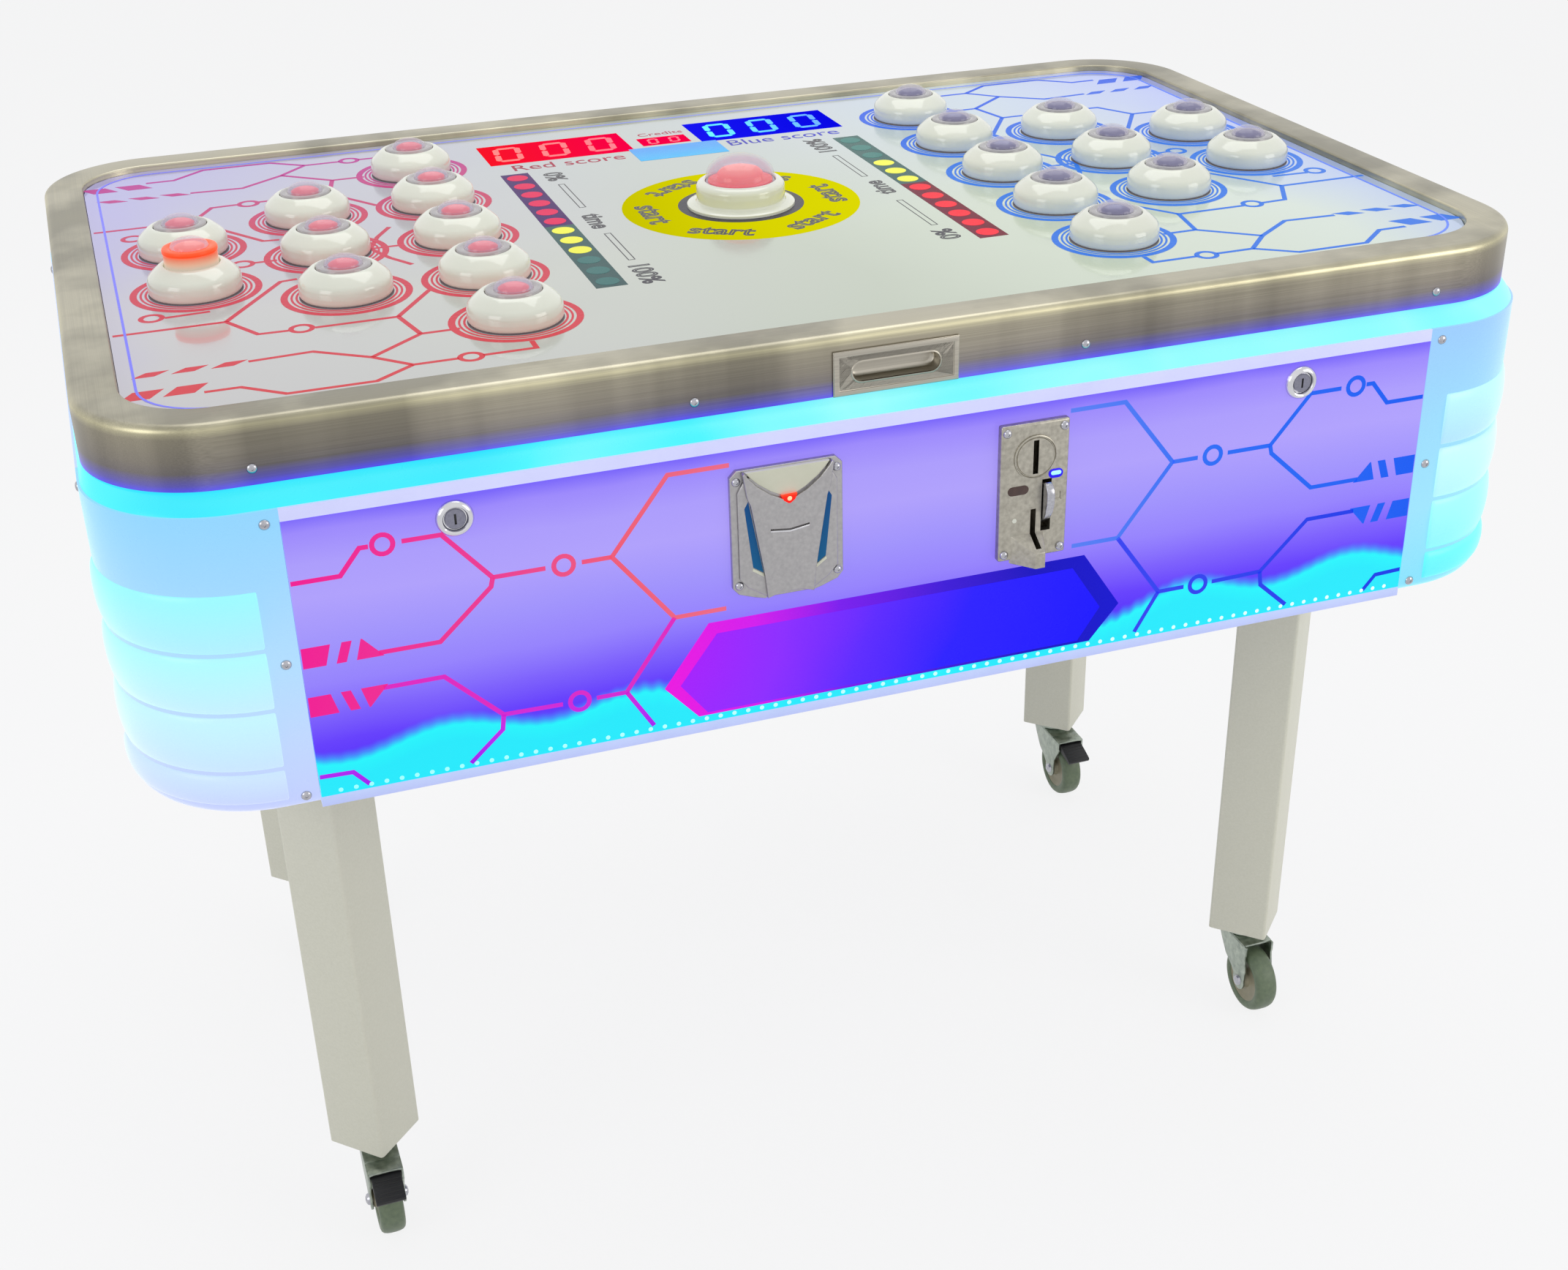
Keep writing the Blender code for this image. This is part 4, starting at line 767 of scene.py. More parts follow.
# The dark ring ink is painted shadow round the start button's flange.
START_SHADOW_INK = lit("painted_start_shadow_ink", ((44, 42, 56), (62, 58, 70)), RIGHT, -0.07, 0.07, glow=0.1, own=0.9)
YELLOW_INK = lit("yellow_disc_ink", ((206, 200, 0), (222, 216, 2), (226, 222, 4)),
                 RIGHT, -0.12, 0.12, glow=0.7, own=0.3, rough=(0.5, 0.6), gleam=0.0)
SCORE_RED = lit("red_window", ((255, 20, 40), (255, 0, 72)), RIGHT, -0.2, -0.04, glow=0.9, **WINDOW)
DIGIT_RED = lit("red_digits", ((255, 96, 88), (255, 70, 110)), RIGHT, -0.2, 0.03, glow=0.9)
SCORE_BLUE = lit("blue_window", ((24, 22, 254), (8, 8, 240)), RIGHT, 0.03, 0.2, glow=0.85, **WINDOW)
DIGIT_BLUE = lit("cyan_digits", ((40, 230, 254), (40, 130, 254)), RIGHT, 0.03, 0.2, glow=0.9)
CYAN_PATCH = lit("cyan_patch", ((40, 190, 244), (70, 160, 240)), BACK, 0.19, 0.24, glow=0.7)
BAR_RED = lit("red_bar_film", ((74, 32, 112), (128, 22, 48)), RIGHT, -0.2, 0.2, glow=0.4, own=0.5, gleam=0.05)
DOT_RED = lit("red_bar_lamps", ((214, 20, 84), (240, 30, 50)), RIGHT, -0.2, 0.2, glow=0.85, gleam=0.05)
DOT_YELLOW = lit("yellow_bar_lamps", ((226, 226, 40), (240, 240, 60)), BACK, -0.2, 0.2, glow=0.8)
BAR_TEAL = lit("teal_bar_film", ((16, 74, 76), (20, 96, 90)), BACK, -0.2, 0.2, glow=0.3, own=0.6)
DOT_TEAL = lit("teal_bar_lamps", ((26, 106, 104), (30, 128, 118)), BACK, -0.2, 0.2, glow=0.35, own=0.6)
LED = lit("strip_lights", ((150, 250, 254), (225, 255, 254)), RIGHT, -0.5, 0.5, glow=0.95)
print("lit materials:", len(bpy.data.materials))

# %% [markdown]
# The front panel is one printed sheet. A strip of small lights runs along its lower edge, so the violet turns into
# bright cyan there, in scallops with one wave for each light, and higher in patches away from the middle. Sines of
# the place across draw both. The side and rear panels are the same sheet, each with its own waves along its length.

# %% Panel sheet with scalloped glow
LED_PITCH = 0.0125
# The last two stops darken the very top of each panel sheet: a painted shadow line under the strip above it.
PANEL_SHADES = [(0.0, (60, 20, 250)), (0.11, (78, 22, 252)), (0.20, (96, 50, 254)), (0.30, (122, 90, 254)),
                (0.42, (148, 128, 255)), (0.56, (160, 146, 254)), (0.72, (176, 160, 254)), (0.84, (172, 156, 254)),
                (0.95, (156, 136, 254)), (1.0, (120, 98, 252))]
CYAN_SHADES = [(0.0, (0, 236, 254)), (0.5, (2, 246, 254)), (0.72, (20, 176, 254)), (1.0, (56, 60, 254))]

PATCH_LENGTH = 0.17
PATCH_SHIFT = 3.79


def panel_sheet(name, across):
    mat, tree, shader = surface(name, Emission_Strength=0.80, Coat_Weight=0.3, Coat_Roughness=0.08,
                                Specular_IOR_Level=0.2)
    where = add_node(tree, "ShaderNodeTexCoord", -1700, 300)
    parts = add_node(tree, "ShaderNodeSeparateXYZ", -1500, 300)
    rate = add_math(tree, "MULTIPLY", -1300, 400, {1: math.tau / LED_PITCH})
    sine = add_math(tree, "SINE", -1150, 400)
    scallop = add_math(tree, "MULTIPLY_ADD", -1000, 400)
    depth = add_span(tree, -1150, 550, 0.12, 0.30, 0.0020, 0.0003)
    away = add_math(tree, "ABSOLUTE", -1300, 700)
    outward = add_span(tree, -1150, 700, 0.10, 0.27, 0.0, 0.019)
    patch_rate = add_math(tree, "MULTIPLY_ADD", -1300, 900, {1: math.tau / PATCH_LENGTH, 2: PATCH_SHIFT})
    patch = add_math(tree, "SINE", -1150, 900)
    reach = add_math(tree, "MULTIPLY_ADD", -1000, 800, {1: 0.0085})
    above = add_math(tree, "SUBTRACT", -700, 700)
    near = add_span(tree, -550, 700, PANEL_LOW + 0.002, PANEL_LOW + 0.030)
    wire(tree, (where, "Object", parts, 0), (parts, across, rate, 0), (rate, 0, sine, 0), (sine, 0, scallop, 0),
         (parts, across, away, 0), (away, 0, depth, "Value"), (depth, 0, scallop, 1), (away, 0, outward, "Value"),
         (parts, across, patch_rate, 0), (patch_rate, 0, patch, 0), (patch, 0, reach, 0), (outward, 0, reach, 2),
         (reach, 0, scallop, 2), (parts, "Z", above, 0), (scallop, 0, above, 1), (above, 0, near, "Value"))
    shades = add_lit(tree, UP, PANEL_LOW, PANEL_TOP, 0.012, 7, -900, 200)
    upper = ramp(tree, shades, "Value", PANEL_SHADES, -600, 300)
    lower = ramp(tree, near, "Result", CYAN_SHADES, -400, 700)
    share = ramp(tree, near, "Result", [(0.55, 0.0), (1.0, 1.0)], -400, 500)
    color = add_mix(tree, -250, 500, (share, 0), (lower, 0), (upper, 0))
    shine_through(tree, shader, color, MIXED, 0.25)
    add_gloss(tree, shader, 40, (0.14, 0.24))
    return mat


# %% The four panels
FRONT_SHEET = panel_sheet("front_panel_sheet", "X")
END_SHEET = panel_sheet("end_panel_sheet", "Y")
dress({"front_service_panel": FRONT_SHEET, "rear_panel": FRONT_SHEET, "left_side_panel": END_SHEET,
       "right_side_panel": END_SHEET})
print("panel sheets:", FRONT_SHEET.name, END_SHEET.name)

# %% [markdown]
# The board that shows between the panels and the corner shells is white laminate. Its outer strips have a painted glow:
# pale lilac above the panels, light blue below. A mask on the distance from the middle keeps the inside plain.

# %% Cabinet board
STRIP = 0.008
CABINET_BOARD, tree, shader = surface("laminated_board", Emission_Strength=0.5)
where = add_node(tree, "ShaderNodeTexCoord", -1500, 300)
parts = add_node(tree, "ShaderNodeSeparateXYZ", -1300, 300)
outer = add_math(tree, "MAXIMUM", -650, 500)
wire(tree, (where, "Object", parts, 0))
for number, (letter, centre, half) in enumerate((("X", 0.0, RIM_HALF[0]), ("Y", MIDDLE.y, CABINET_HALF_DEPTH))):
    off = add_math(tree, "SUBTRACT", -1100, 500, {1: centre})
    size = add_math(tree, "ABSOLUTE", -950, 500)
    outside = add_math(tree, "GREATER_THAN", -800, 500, {1: half - STRIP})
    wire(tree, (parts, letter, off, 0), (off, 0, size, 0), (size, 0, outside, 0), (outside, 0, outer, number))
height = add_lit(tree, UP, CABINET_BOTTOM, CABINET_TOP, 0.004, 30, -1100, 0)
# Painted glow on the board's outer strips, standing in for light spilled from the panels and the band.
painted_glow_strip = ramp(tree, height, "Value", [(0.0, (120, 150, 240)), (0.05, (150, 190, 250)), (0.5, (150, 140, 240)),
                                     (1.0, (186, 190, 252))], -800, 0)
glow = add_mix(tree, -400, 300, (outer, 0), (0, 0, 0, 1), (painted_glow_strip, 0))
wire(tree, (glow, MIXED, shader, "Emission Color"))
pattern = add_grain(tree, scale=25, contrast=1.2, x=-1100, y=-300)
follow(tree, shader, "Base Color", pattern, "Value", ((196, 198, 214), (210, 212, 226)), -800, -300)
follow(tree, shader, "Roughness", pattern, "Value", (0.32, 0.42), -800, -500)
dress({"cabinet_body": CABINET_BOARD})
print("board finish:", CABINET_BOARD.name)

# %% [markdown]
# The playfield is a printed sheet with light behind it: grey-green in the middle, palest at the front right, violet at
# the left rear and blue along the right edge and rear. Two ramps across the width, one for the front and one for the
# rear, are mixed by the distance from front to rear.

# %% Playfield sheet
PLAYFIELD, tree, shader = surface("lit_playfield_sheet", Emission_Strength=0.42, Coat_Weight=0.7,
                                  Coat_Roughness=0.03)
across = add_lit(tree, RIGHT, -COVER_HALF[0], COVER_HALF[0], 0.25, 3.0, -1100, 300)
back = add_lit(tree, BACK, -COVER_HALF[1], COVER_HALF[1], 0.14, 4.0, -1100, 0)
front_shades = ramp(tree, across, "Value", [
    (0.0, (178, 172, 206)), (0.06, (190, 188, 190)), (0.3, (190, 194, 186)), (0.5, (182, 194, 172)),
    (0.7, (200, 214, 190)), (0.88, (206, 222, 208)), (1.0, (160, 186, 238))], -800, 400)
rear_shades = ramp(tree, across, "Value", [
    (0.0, (146, 140, 226)), (0.2, (164, 162, 196)), (0.45, (174, 184, 182)), (0.62, (184, 196, 206)),
    (0.8, (176, 200, 226)), (1.0, (128, 146, 252))], -800, 150)
depth = ramp(tree, back, "Value", [(0.35, 0.0), (1.0, 1.0)], -800, -100)
sheet = add_mix(tree, -450, 300, (depth, 0), (front_shades, 0), (rear_shades, 0))
shine_through(tree, shader, sheet, MIXED, 0.5)
add_gloss(tree, shader, 30, (0.10, 0.18), -1100)
dress({"playfield_cover": PLAYFIELD, "playfield_board": BOARD, "display_board": CIRCUIT, "coin_box": SHEET_ZINC,
       "control_unit": CASE})
print("carried-over pieces have their finishes")

# %% [markdown]
# ## The lid's rim
# The rim is one folded sheet: an outer wall, a rounded fold, a broad top band and a step down to the ledge that holds
# the playfield. The folded section is drawn once and carried round a rounded rectangle, so all four sides and corners
# are the same sheet. The hole for the pull handle's cup is cut afterwards with a Boolean.


# %% Folded rim
GAP = 0.0003


def bend(middle, radius, first, last, count=6):
    """Points of a round bend in a section, angles in degrees."""
    return circle_points(middle, radius, count, first, last)


FOLD = 0.007
SHEET = 0.002
LEDGE_TOP = BOARD_BOTTOM - GAP
WELL_BEND = 0.0022
section = [(0, RIM_BOTTOM), *bend((FOLD, RIM_TOP - FOLD), FOLD, 180, 90, 8),
           *bend((RIM_BAND - WELL_BEND, RIM_TOP - WELL_BEND), WELL_BEND, 90, 0, 4),
           (RIM_BAND, LEDGE_TOP), (RIM_BAND + 0.010, LEDGE_TOP), (RIM_BAND + 0.010, LEDGE_TOP - SHEET),
           (RIM_BAND - SHEET, LEDGE_TOP - SHEET), (RIM_BAND - SHEET, RIM_TOP - SHEET - 0.001),
           (FOLD, RIM_TOP - SHEET - 0.001), (SHEET, RIM_TOP - FOLD), (SHEET, RIM_BOTTOM)]
pull_low, pull_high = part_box("lid_pull_handle")
PULL_FRONT = pull_low.y - MIDDLE.y
PULL_MIDDLE = (pull_low.z + pull_high.z) / 2
CUP_HALF = 0.041
CUP_HEIGHT = 0.0105
rim_bm = cut_away(round_table(section, RIM_HALF, RIM_CORNER),
                  box((-CUP_HALF - 0.001, -RIM_HALF[1] - 0.01, PULL_MIDDLE - CUP_HEIGHT - 0.001),
                      (CUP_HALF + 0.001, -RIM_HALF[1] + 0.006, PULL_MIDDLE + CUP_HEIGHT + 0.001)))
rim = piece("folded_lid_rim", [rim_bm], RIM_STEEL, "lid", ["lid_rim"], sharp=40)
print("rim faces:", len(rim.data.polygons))


# %% [markdown]
# Small domed screws hold the rim, the corner shells and the fittings. One turned profile gives a head with a shallow
# dimple, and a matrix puts it wherever it is needed.

# %% Domed screws
FACING = {"-Y": turn(90, "X"), "+Y": turn(-90, "X"), "+X": turn(90, "Y"), "-X": turn(-90, "Y")}


def screw(radius, rise, place, facing):
    """A domed head on a face that looks towards -Y, +Y, -X or +X."""
    profile = [(0, rise * 0.72), (radius * 0.20, rise * 0.74), (radius * 0.26, rise), (radius * 0.55, rise * 0.9),
               (radius * 0.85, rise * 0.55), (radius, rise * 0.12), (radius, 0), (0, 0)]
    return turned(profile, steps=20), at(*place) @ FACING[facing]


def side_screws(xs, ys, half, z, radius, rise):
    """Screws at one height: in pairs on front and rear, then in pairs on both ends."""
    heads = [screw(radius, rise, (x, side * half[1], z), facing)
             for x in xs for side, facing in ((-1, "-Y"), (1, "+Y"))]
    return heads + [screw(radius, rise, (side * half[0], y, z), facing)
                    for y in ys for side, facing in ((1, "+X"), (-1, "-X"))]


rim_screws = side_screws((-0.523, -0.174, 0.174, 0.523), (-0.20, 0.20), RIM_HALF, RIM_BOTTOM + 0.0135, 0.0042, 0.0022)
piece("rim_screws", rim_screws, SCREW_STEEL, "lid")
print("rim screws:", len(rim_screws))

# %% [markdown]
# ## The light band
# Under the rim a translucent band runs all round. It slopes from the cabinet's edge in to the rim, with a slightly
# bulging face. The section is carried round once, then drawn in towards the rim by its height.

# %% Light band
band_low, band_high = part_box("light_band")
BAND_HALF = (band_high.x, (band_high.y - band_low.y) / 2)
rise = band_high.z - band_low.z
section = [(0, band_low.z + share * rise) for share in (0, 0.15, 0.4, 0.65, 0.85)]
section += [(0.0012, band_high.z), (0.018, band_high.z), (0.018, band_low.z)]
band_bm = round_table(section, BAND_HALF, 0.110)
TOP_SHARE = ((RIM_HALF[0] - 0.001) / BAND_HALF[0], (RIM_HALF[1] - 0.001) / BAND_HALF[1])
for vert in band_bm.verts:
    draw = ((vert.co.z - band_low.z) / rise) ** 1.35
    vert.co.x *= 1 + (TOP_SHARE[0] - 1) * draw
    vert.co.y *= 1 + (TOP_SHARE[1] - 1) * draw
band = piece("glowing_light_band", [band_bm], BAND_GLOW, "cabinet", ["light_band"], sharp=50)
print("band faces:", len(band.data.polygons))

# %% [markdown]
# ## Corner shells
# Each corner is a milky moulded shell that wraps round it, with a flat flange at both ends. Between the flanges four
# swellings run round the corner like pillows, with a groove between each and the next. Shell and swellings are two
# sections carried along the same path: straight, round the corner, straight.

# %% Corner shells
SHELL = 0.003
SHELL_CORNER = 0.112
FLANGE = 0.025
FOOT = 0.016
SWELL = 0.0043

shell_near = (PANEL_HALF + 0.0006, SIDE_HALF + 0.0006)
shell_far = (-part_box("front_left_fairing")[0].x - 0.0045, 0.423)


def corner_path(start_gap):
    """Start on the front face, moves to the side face; the corner's centre is the turning point."""
    centre = (shell_far[0] - SHELL_CORNER, shell_far[1] - SHELL_CORNER, 0)
    along = centre[0] - shell_near[0] - start_gap
    up = centre[1] - shell_near[1] - start_gap
    start = (shell_near[0] + start_gap, shell_far[1], 0)
    return start, [("go", (along, 0, 0)), ("turn", centre, -90, 18), ("go", (0, -up, 0))]


def corner_shell(x_side, y_side):
    start, moves = corner_path(0)
    foot = bend((0, 0), FOOT, 270, 360, 6)
    outer = [(y - FOOT, z + CABINET_BOTTOM + FOOT) for y, z in foot]
    inner = [(y - FOOT - SHELL, z + CABINET_BOTTOM + FOOT + SHELL * 0.6)
             for y, z in reversed(bend((0, 0), FOOT - SHELL * 0.5, 270, 360, 6))]
    section = [(0, y, z) for y, z in outer + [(0, CABINET_TOP), (-SHELL, CABINET_TOP)] + inner]
    base = carried(section, start, moves)
    start, moves = corner_path(FLANGE)
    swellings = []
    for top, bottom in zip(GROOVES, GROOVES[1:]):
        tall = top - bottom - 0.0035
        shape = [(-0.002, bottom + 0.0015)]
        shape += [(SWELL * (4 * t * (1 - t)) ** 0.62 * (0.86 + 0.14 * t), bottom + 0.0015 + tall * t)
                  for t in (0.004, 0.03, 0.09, 0.18, 0.32, 0.5, 0.68, 0.82, 0.91, 0.97, 0.996)]
        shape += [(-0.002, bottom + 0.0015 + tall)]
        bump = carried([(0, y, z) for y, z in shape], start, moves)
        ends = [e for e in bump.edges if len(e.link_faces) == 2 and any(len(f.verts) > 4 for f in e.link_faces)]
        bmesh.ops.bevel(bump, geom=ends, offset=0.0012, segments=2, profile=0.5, affect="EDGES", material=-1)
        swellings.append(bump)
    both = [base, join(swellings)]
    for part in both:
        bmesh.ops.scale(part, vec=(x_side, y_side, 1), verts=part.verts)
        bmesh.ops.recalc_face_normals(part, faces=part.faces)
    return both


for corner, x_side, y_side in CORNERS:
    whole, swellings = corner_shell(x_side, y_side)
    shell = piece(f"{corner}_corner_shell", [whole], LEFT_SHELL if x_side < 0 else RIGHT_SHELL, "cabinet",
                  [f"{corner}_fairing"], sharp=48)
    piece(f"{corner}_corner_swellings", [swellings], LEFT_SWELL if x_side < 0 else RIGHT_SWELL, "cabinet",
          sharp=60)
print("corner shell faces:", len(shell.data.polygons))

# %% Screws in the flanges
flange_screws = []
for z in (PANEL_TOP, PANEL_TOP - 0.121, PANEL_TOP - 0.242):
    flange_screws += side_screws((-0.5215, 0.5215), (-0.2935, 0.2935), shell_far, z, 0.0044, 0.0024)
piece("flange_screws", flange_screws, SCREW_STEEL, "cabinet")
print("flange screws:", len(flange_screws))

# %% [markdown]
# ## Small lights along the panels
# The light strip's bulbs show as a row of bright beads at the foot of each panel. They are short turned domes, and
# ride with the panel that they light.


# %% Beads of light
BEAD = [(0, 0.0009), (0.0012, 0.0007), (0.0020, 0.0), (0, 0)]
BEAD_Z = PANEL_LOW + 0.0035


def beads(half, stand):
    """A row of beads; stand gives the matrix for a place along the panel."""
    count = int(2 * (half - 0.006) / LED_PITCH)
    return [(turned(BEAD, steps=10), stand((i - (count - 1) / 2) * LED_PITCH)) for i in range(count)]


piece("front_light_beads", beads(PANEL_HALF, lambda x: at(x, PANEL_FRONT, BEAD_Z) @ turn(90, "X")), LED,
      "service_panel")
rest = beads(PANEL_HALF, lambda x: at(x, -PANEL_FRONT, BEAD_Z) @ turn(-90, "X"))
for side in (-1, 1):
    rest += beads(SIDE_HALF, lambda y: at(side * SIDE_FACE, y, BEAD_Z) @ turn(side * 90, "Y"))
piece("cabinet_light_beads", rest, LED, "cabinet")
print("beads:", len(rest))

# %% [markdown]
# ## Legs
# Each leg is a square powder-coated tube, turned so that one edge points out through the corner. Its edges are rounded
# over the wall's thickness. The top is open: the wall is drawn in from the top face and pushed down.

# %% Legs
LEG_PLACE = (0.4955, 0.245)
LEG_SIDE = 0.064
leg_low, leg_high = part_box("front_left_leg")
for corner, x_side, y_side in CORNERS:
    tube = box((-LEG_SIDE / 2, -LEG_SIDE / 2, leg_low.z), (LEG_SIDE / 2, LEG_SIDE / 2, leg_high.z), 0.0035, 4,
               upright_only=True)
    top = [f for f in tube.faces if f.normal.z > 0.9]
    bmesh.ops.inset_region(tube, faces=top, thickness=0.003)
    down = bmesh.ops.extrude_face_region(tube, geom=top)["geom"]
    bmesh.ops.translate(tube, vec=(0, 0, -0.12), verts=new_parts(down, bmesh.types.BMVert))
    bmesh.ops.delete(tube, geom=top, context="FACES_ONLY")
    flange = box((-0.042, -0.042, leg_high.z - 0.0495), (0.042, 0.042, leg_high.z - 0.0457), 0.0012, 2)
    piece(f"{corner}_square_leg", [tube, flange], CREAM, "cabinet", [f"{corner}_leg"],
          place=at(x_side * LEG_PLACE[0], y_side * LEG_PLACE[1], 0) @ turn(45, "Z"))
print("legs from", round(leg_low.z, 3), "to", round(leg_high.z, 3))

# %% [markdown]
# ## Player buttons
# A player's button is a fat white bun with a clear plunger in its neck. The bun swells from a narrow foot, is widest
# a third of the way up and closes in a smooth curve to the neck. A dark ring of painted shadow lies under it. All ten
# bodies of one player are one piece with the plate that clamps them under the board.

# %% Button bodies
HOUSING_HEIGHT = 0.0265
BORE = 0.0245
NECK = BORE + 0.0015
ON_SHEET = COVER_TOP + 0.0003
DROP = COVER_TOP - 0.032
bun = [(0, DROP + 0.004), (BORE, DROP + 0.004), (BORE, COVER_TOP + HOUSING_HEIGHT - 0.0010),
       (BORE + 0.0005, COVER_TOP + HOUSING_HEIGHT - 0.0003), (NECK, COVER_TOP + HOUSING_HEIGHT - 0.0001)]
bun += [(r, COVER_TOP + z) for r, z in (
    (0.0275, 0.0262), (0.0290, 0.0255), (0.0305, 0.0245), (0.0345, 0.0213), (0.0380, 0.0181), (0.0391, 0.0168),
    (0.0400, 0.0152), (0.0406, 0.0134), (0.0409, 0.0114), (0.0410, 0.0090), (0.0410, 0.0050), (0.0407, 0.0030),
    (0.0400, 0.0014), (0.0390, 0.0005))]
bun += [(0.0376, ON_SHEET), (0.030, ON_SHEET), (0.030, DROP), (0, DROP)]
# A thin dark ring at the foot of each bun, painted shadow where the bun meets the sheet.
bun_shadow_ring = [(0.0374, ON_SHEET), (0.0412, ON_SHEET), (0.0406, ON_SHEET + 0.0008), (0.0388, ON_SHEET + 0.0011)]
for side, colour in SIDES:
    bank_low, bank_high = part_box(f"{colour}_button_bank")
    plate_top = BOARD_BOTTOM - 0.0026
    plate = box((bank_low.x, bank_low.y - MIDDLE.y, plate_top - 0.003),
                (bank_high.x, bank_high.y - MIDDLE.y, plate_top), 0.006, 3, upright_only=True)
    holes = [turned([(0, plate_top + 0.01), (0.0285, plate_top + 0.01), (0.0285, plate_top - 0.01),
                     (0, plate_top - 0.01)], (x, y, 0), steps=32) for x, y in button_places(side)]
    plate = cut_away(plate, *holes)
    buns = [turned(bun, (x, y, 0), steps=44) for x, y in button_places(side)]
    bodies = piece(f"{colour}_button_bodies", [*buns, plate], WHITE_GLOSS, "lid",
                   [f"{colour}_button_bank"])
    piece(f"{colour}_button_painted_shadows", [turned(bun_shadow_ring, (x, y, 0), steps=40, closed=True)
                                       for x, y in button_places(side)], BUN_SHADOW, "lid")
print("one player's bodies:", len(bodies.data.polygons), "faces")

# %% [markdown]
# The plunger is three mouldings: a coloured core that catches the lamp below, a clear flange with a low dome over it,
# and a sleeve that slides in the neck. Thin clear plastic is drawn as partly see-through, with a glossy coat. The
# popped-up plunger of the red player is lit, so its core, flange and sleeve glow orange-red.


# %% Plunger finishes
def clear(name, dark, light, alpha, rough=(0.02, 0.06)):
    return grained(name, dark, light, rough, scale=35, Alpha=alpha, Coat_Weight=1.0, Coat_Roughness=0.02)


CLEAR_DOME = clear("clear_dome", (200, 192, 222), (226, 218, 242), 0.38)
CLEAR_START = clear("clear_start_dome", (196, 190, 226), (222, 216, 246), 0.24)
CLEAR_FLANGE = clear("clear_flange", (194, 190, 192), (216, 212, 212), 0.66, (0.10, 0.18))
CORE_SPAN = {"start": COVER_TOP + 0.024, "end": COVER_TOP + 0.034}
RED_CORE = lit("red_core", [(0.0, (196, 120, 126)), (0.25, (224, 84, 92)), (0.7, (244, 64, 60)),
                            (1.0, (250, 110, 100))], glow=0.7, own=0.3, **CORE_SPAN)
LIT_STEM = lit("lit_stem", [(0.0, (214, 206, 190)), (0.35, (240, 190, 160)), (1.0, (255, 90, 40))],
               start=COVER_TOP + 0.024, end=COVER_TOP + 0.037, glow=0.55, own=0.5)
RED_LAMP = lit("lit_red_core", ((255, 44, 6), (255, 70, 22), (255, 128, 84)),
               start=COVER_TOP + 0.024, end=COVER_TOP + 0.047, glow=0.92, own=0.2)
BLUE_CORE = lit("blue_core", [(0.0, (120, 124, 152)), (0.25, (70, 78, 128)), (0.7, (44, 54, 112)),
                              (1.0, (110, 122, 180))], glow=0.25, own=0.65, **CORE_SPAN)
SLEEVE = grained("frosted_sleeve", (176, 178, 184), (204, 206, 210), (0.25, 0.35), scale=60)
print("plunger finishes:", CLEAR_DOME.name, CLEAR_FLANGE.name, SLEEVE.name)

# %% Plungers
PLUNGER_R = 0.0240
RAISED = 0.013
TOP = HOUSING_HEIGHT - 0.0007
FOOT_HEIGHT = 0.004 + 0.0005 - 0.032
lens = [(0.0168 * math.sin(math.radians(a)), TOP + 0.0020 + 0.0083 * math.cos(math.radians(a)))
        for a in range(0, 91, 10)]
lens += [(0.0160, TOP + 0.0018), (0, TOP + 0.0018)]
flange = [(0, TOP + 0.0016), (0.0170, TOP + 0.0016), (0.0180, TOP + 0.0022), (0.0216, TOP + 0.0024),
          (0.0234, TOP + 0.0019), (PLUNGER_R, TOP + 0.0008), (PLUNGER_R, TOP - 0.0016), (0.0222, TOP - 0.0022),
          (0.0160, TOP - 0.0024), (0, TOP - 0.0024)]
core = [(0, TOP + 0.0058), (0.0056, TOP + 0.0052), (0.0094, TOP + 0.0042), (0.0120, TOP + 0.0029),
        (0.0132, TOP + 0.0020), (0.0132, TOP - 0.0002), (0, TOP - 0.0002)]
sleeve = [(0.0, TOP - 0.0026), (0.0226, TOP - 0.0026), (0.0234, TOP - 0.0034), (0.0234, TOP - 0.0185),
          (0.0226, TOP - 0.0200), (0.0060, TOP - 0.0200), (0.0060, FOOT_HEIGHT), (0, FOOT_HEIGHT)]
for side, colour in SIDES:
    for number, (x, y) in enumerate(button_places(side), start=1):
        body = f"{colour}_dome_{number:02d}"
        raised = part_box(body)[1].z - COVER_TOP > HOUSING_HEIGHT + RAISED - 0.001
        place = (x, y, COVER_TOP + (RAISED if raised else 0.0))
        core_finish = RED_LAMP if raised else {"red": RED_CORE, "blue": BLUE_CORE}[colour]
        for part, profile, steps, finish in (
                ("lens", lens, 40, CLEAR_DOME), ("flange", flange, 40, RED_LAMP if raised else CLEAR_FLANGE),
                ("core", core, 32, core_finish), ("sleeve", sleeve, 32, LIT_STEM if raised else SLEEVE)):
            piece(f"{body}_{part}", [turned(profile, place, steps=steps)], finish, body,
                  [body] if part == "lens" else ())
print("plungers:", 2 * len(button_places(1)))

# %% [markdown]
# ## Start button
# The start button is a bigger relative: a broad flange, a waisted white body and a tall clear dome. Through the dome
# shows an orange-red core with a stepped edge.

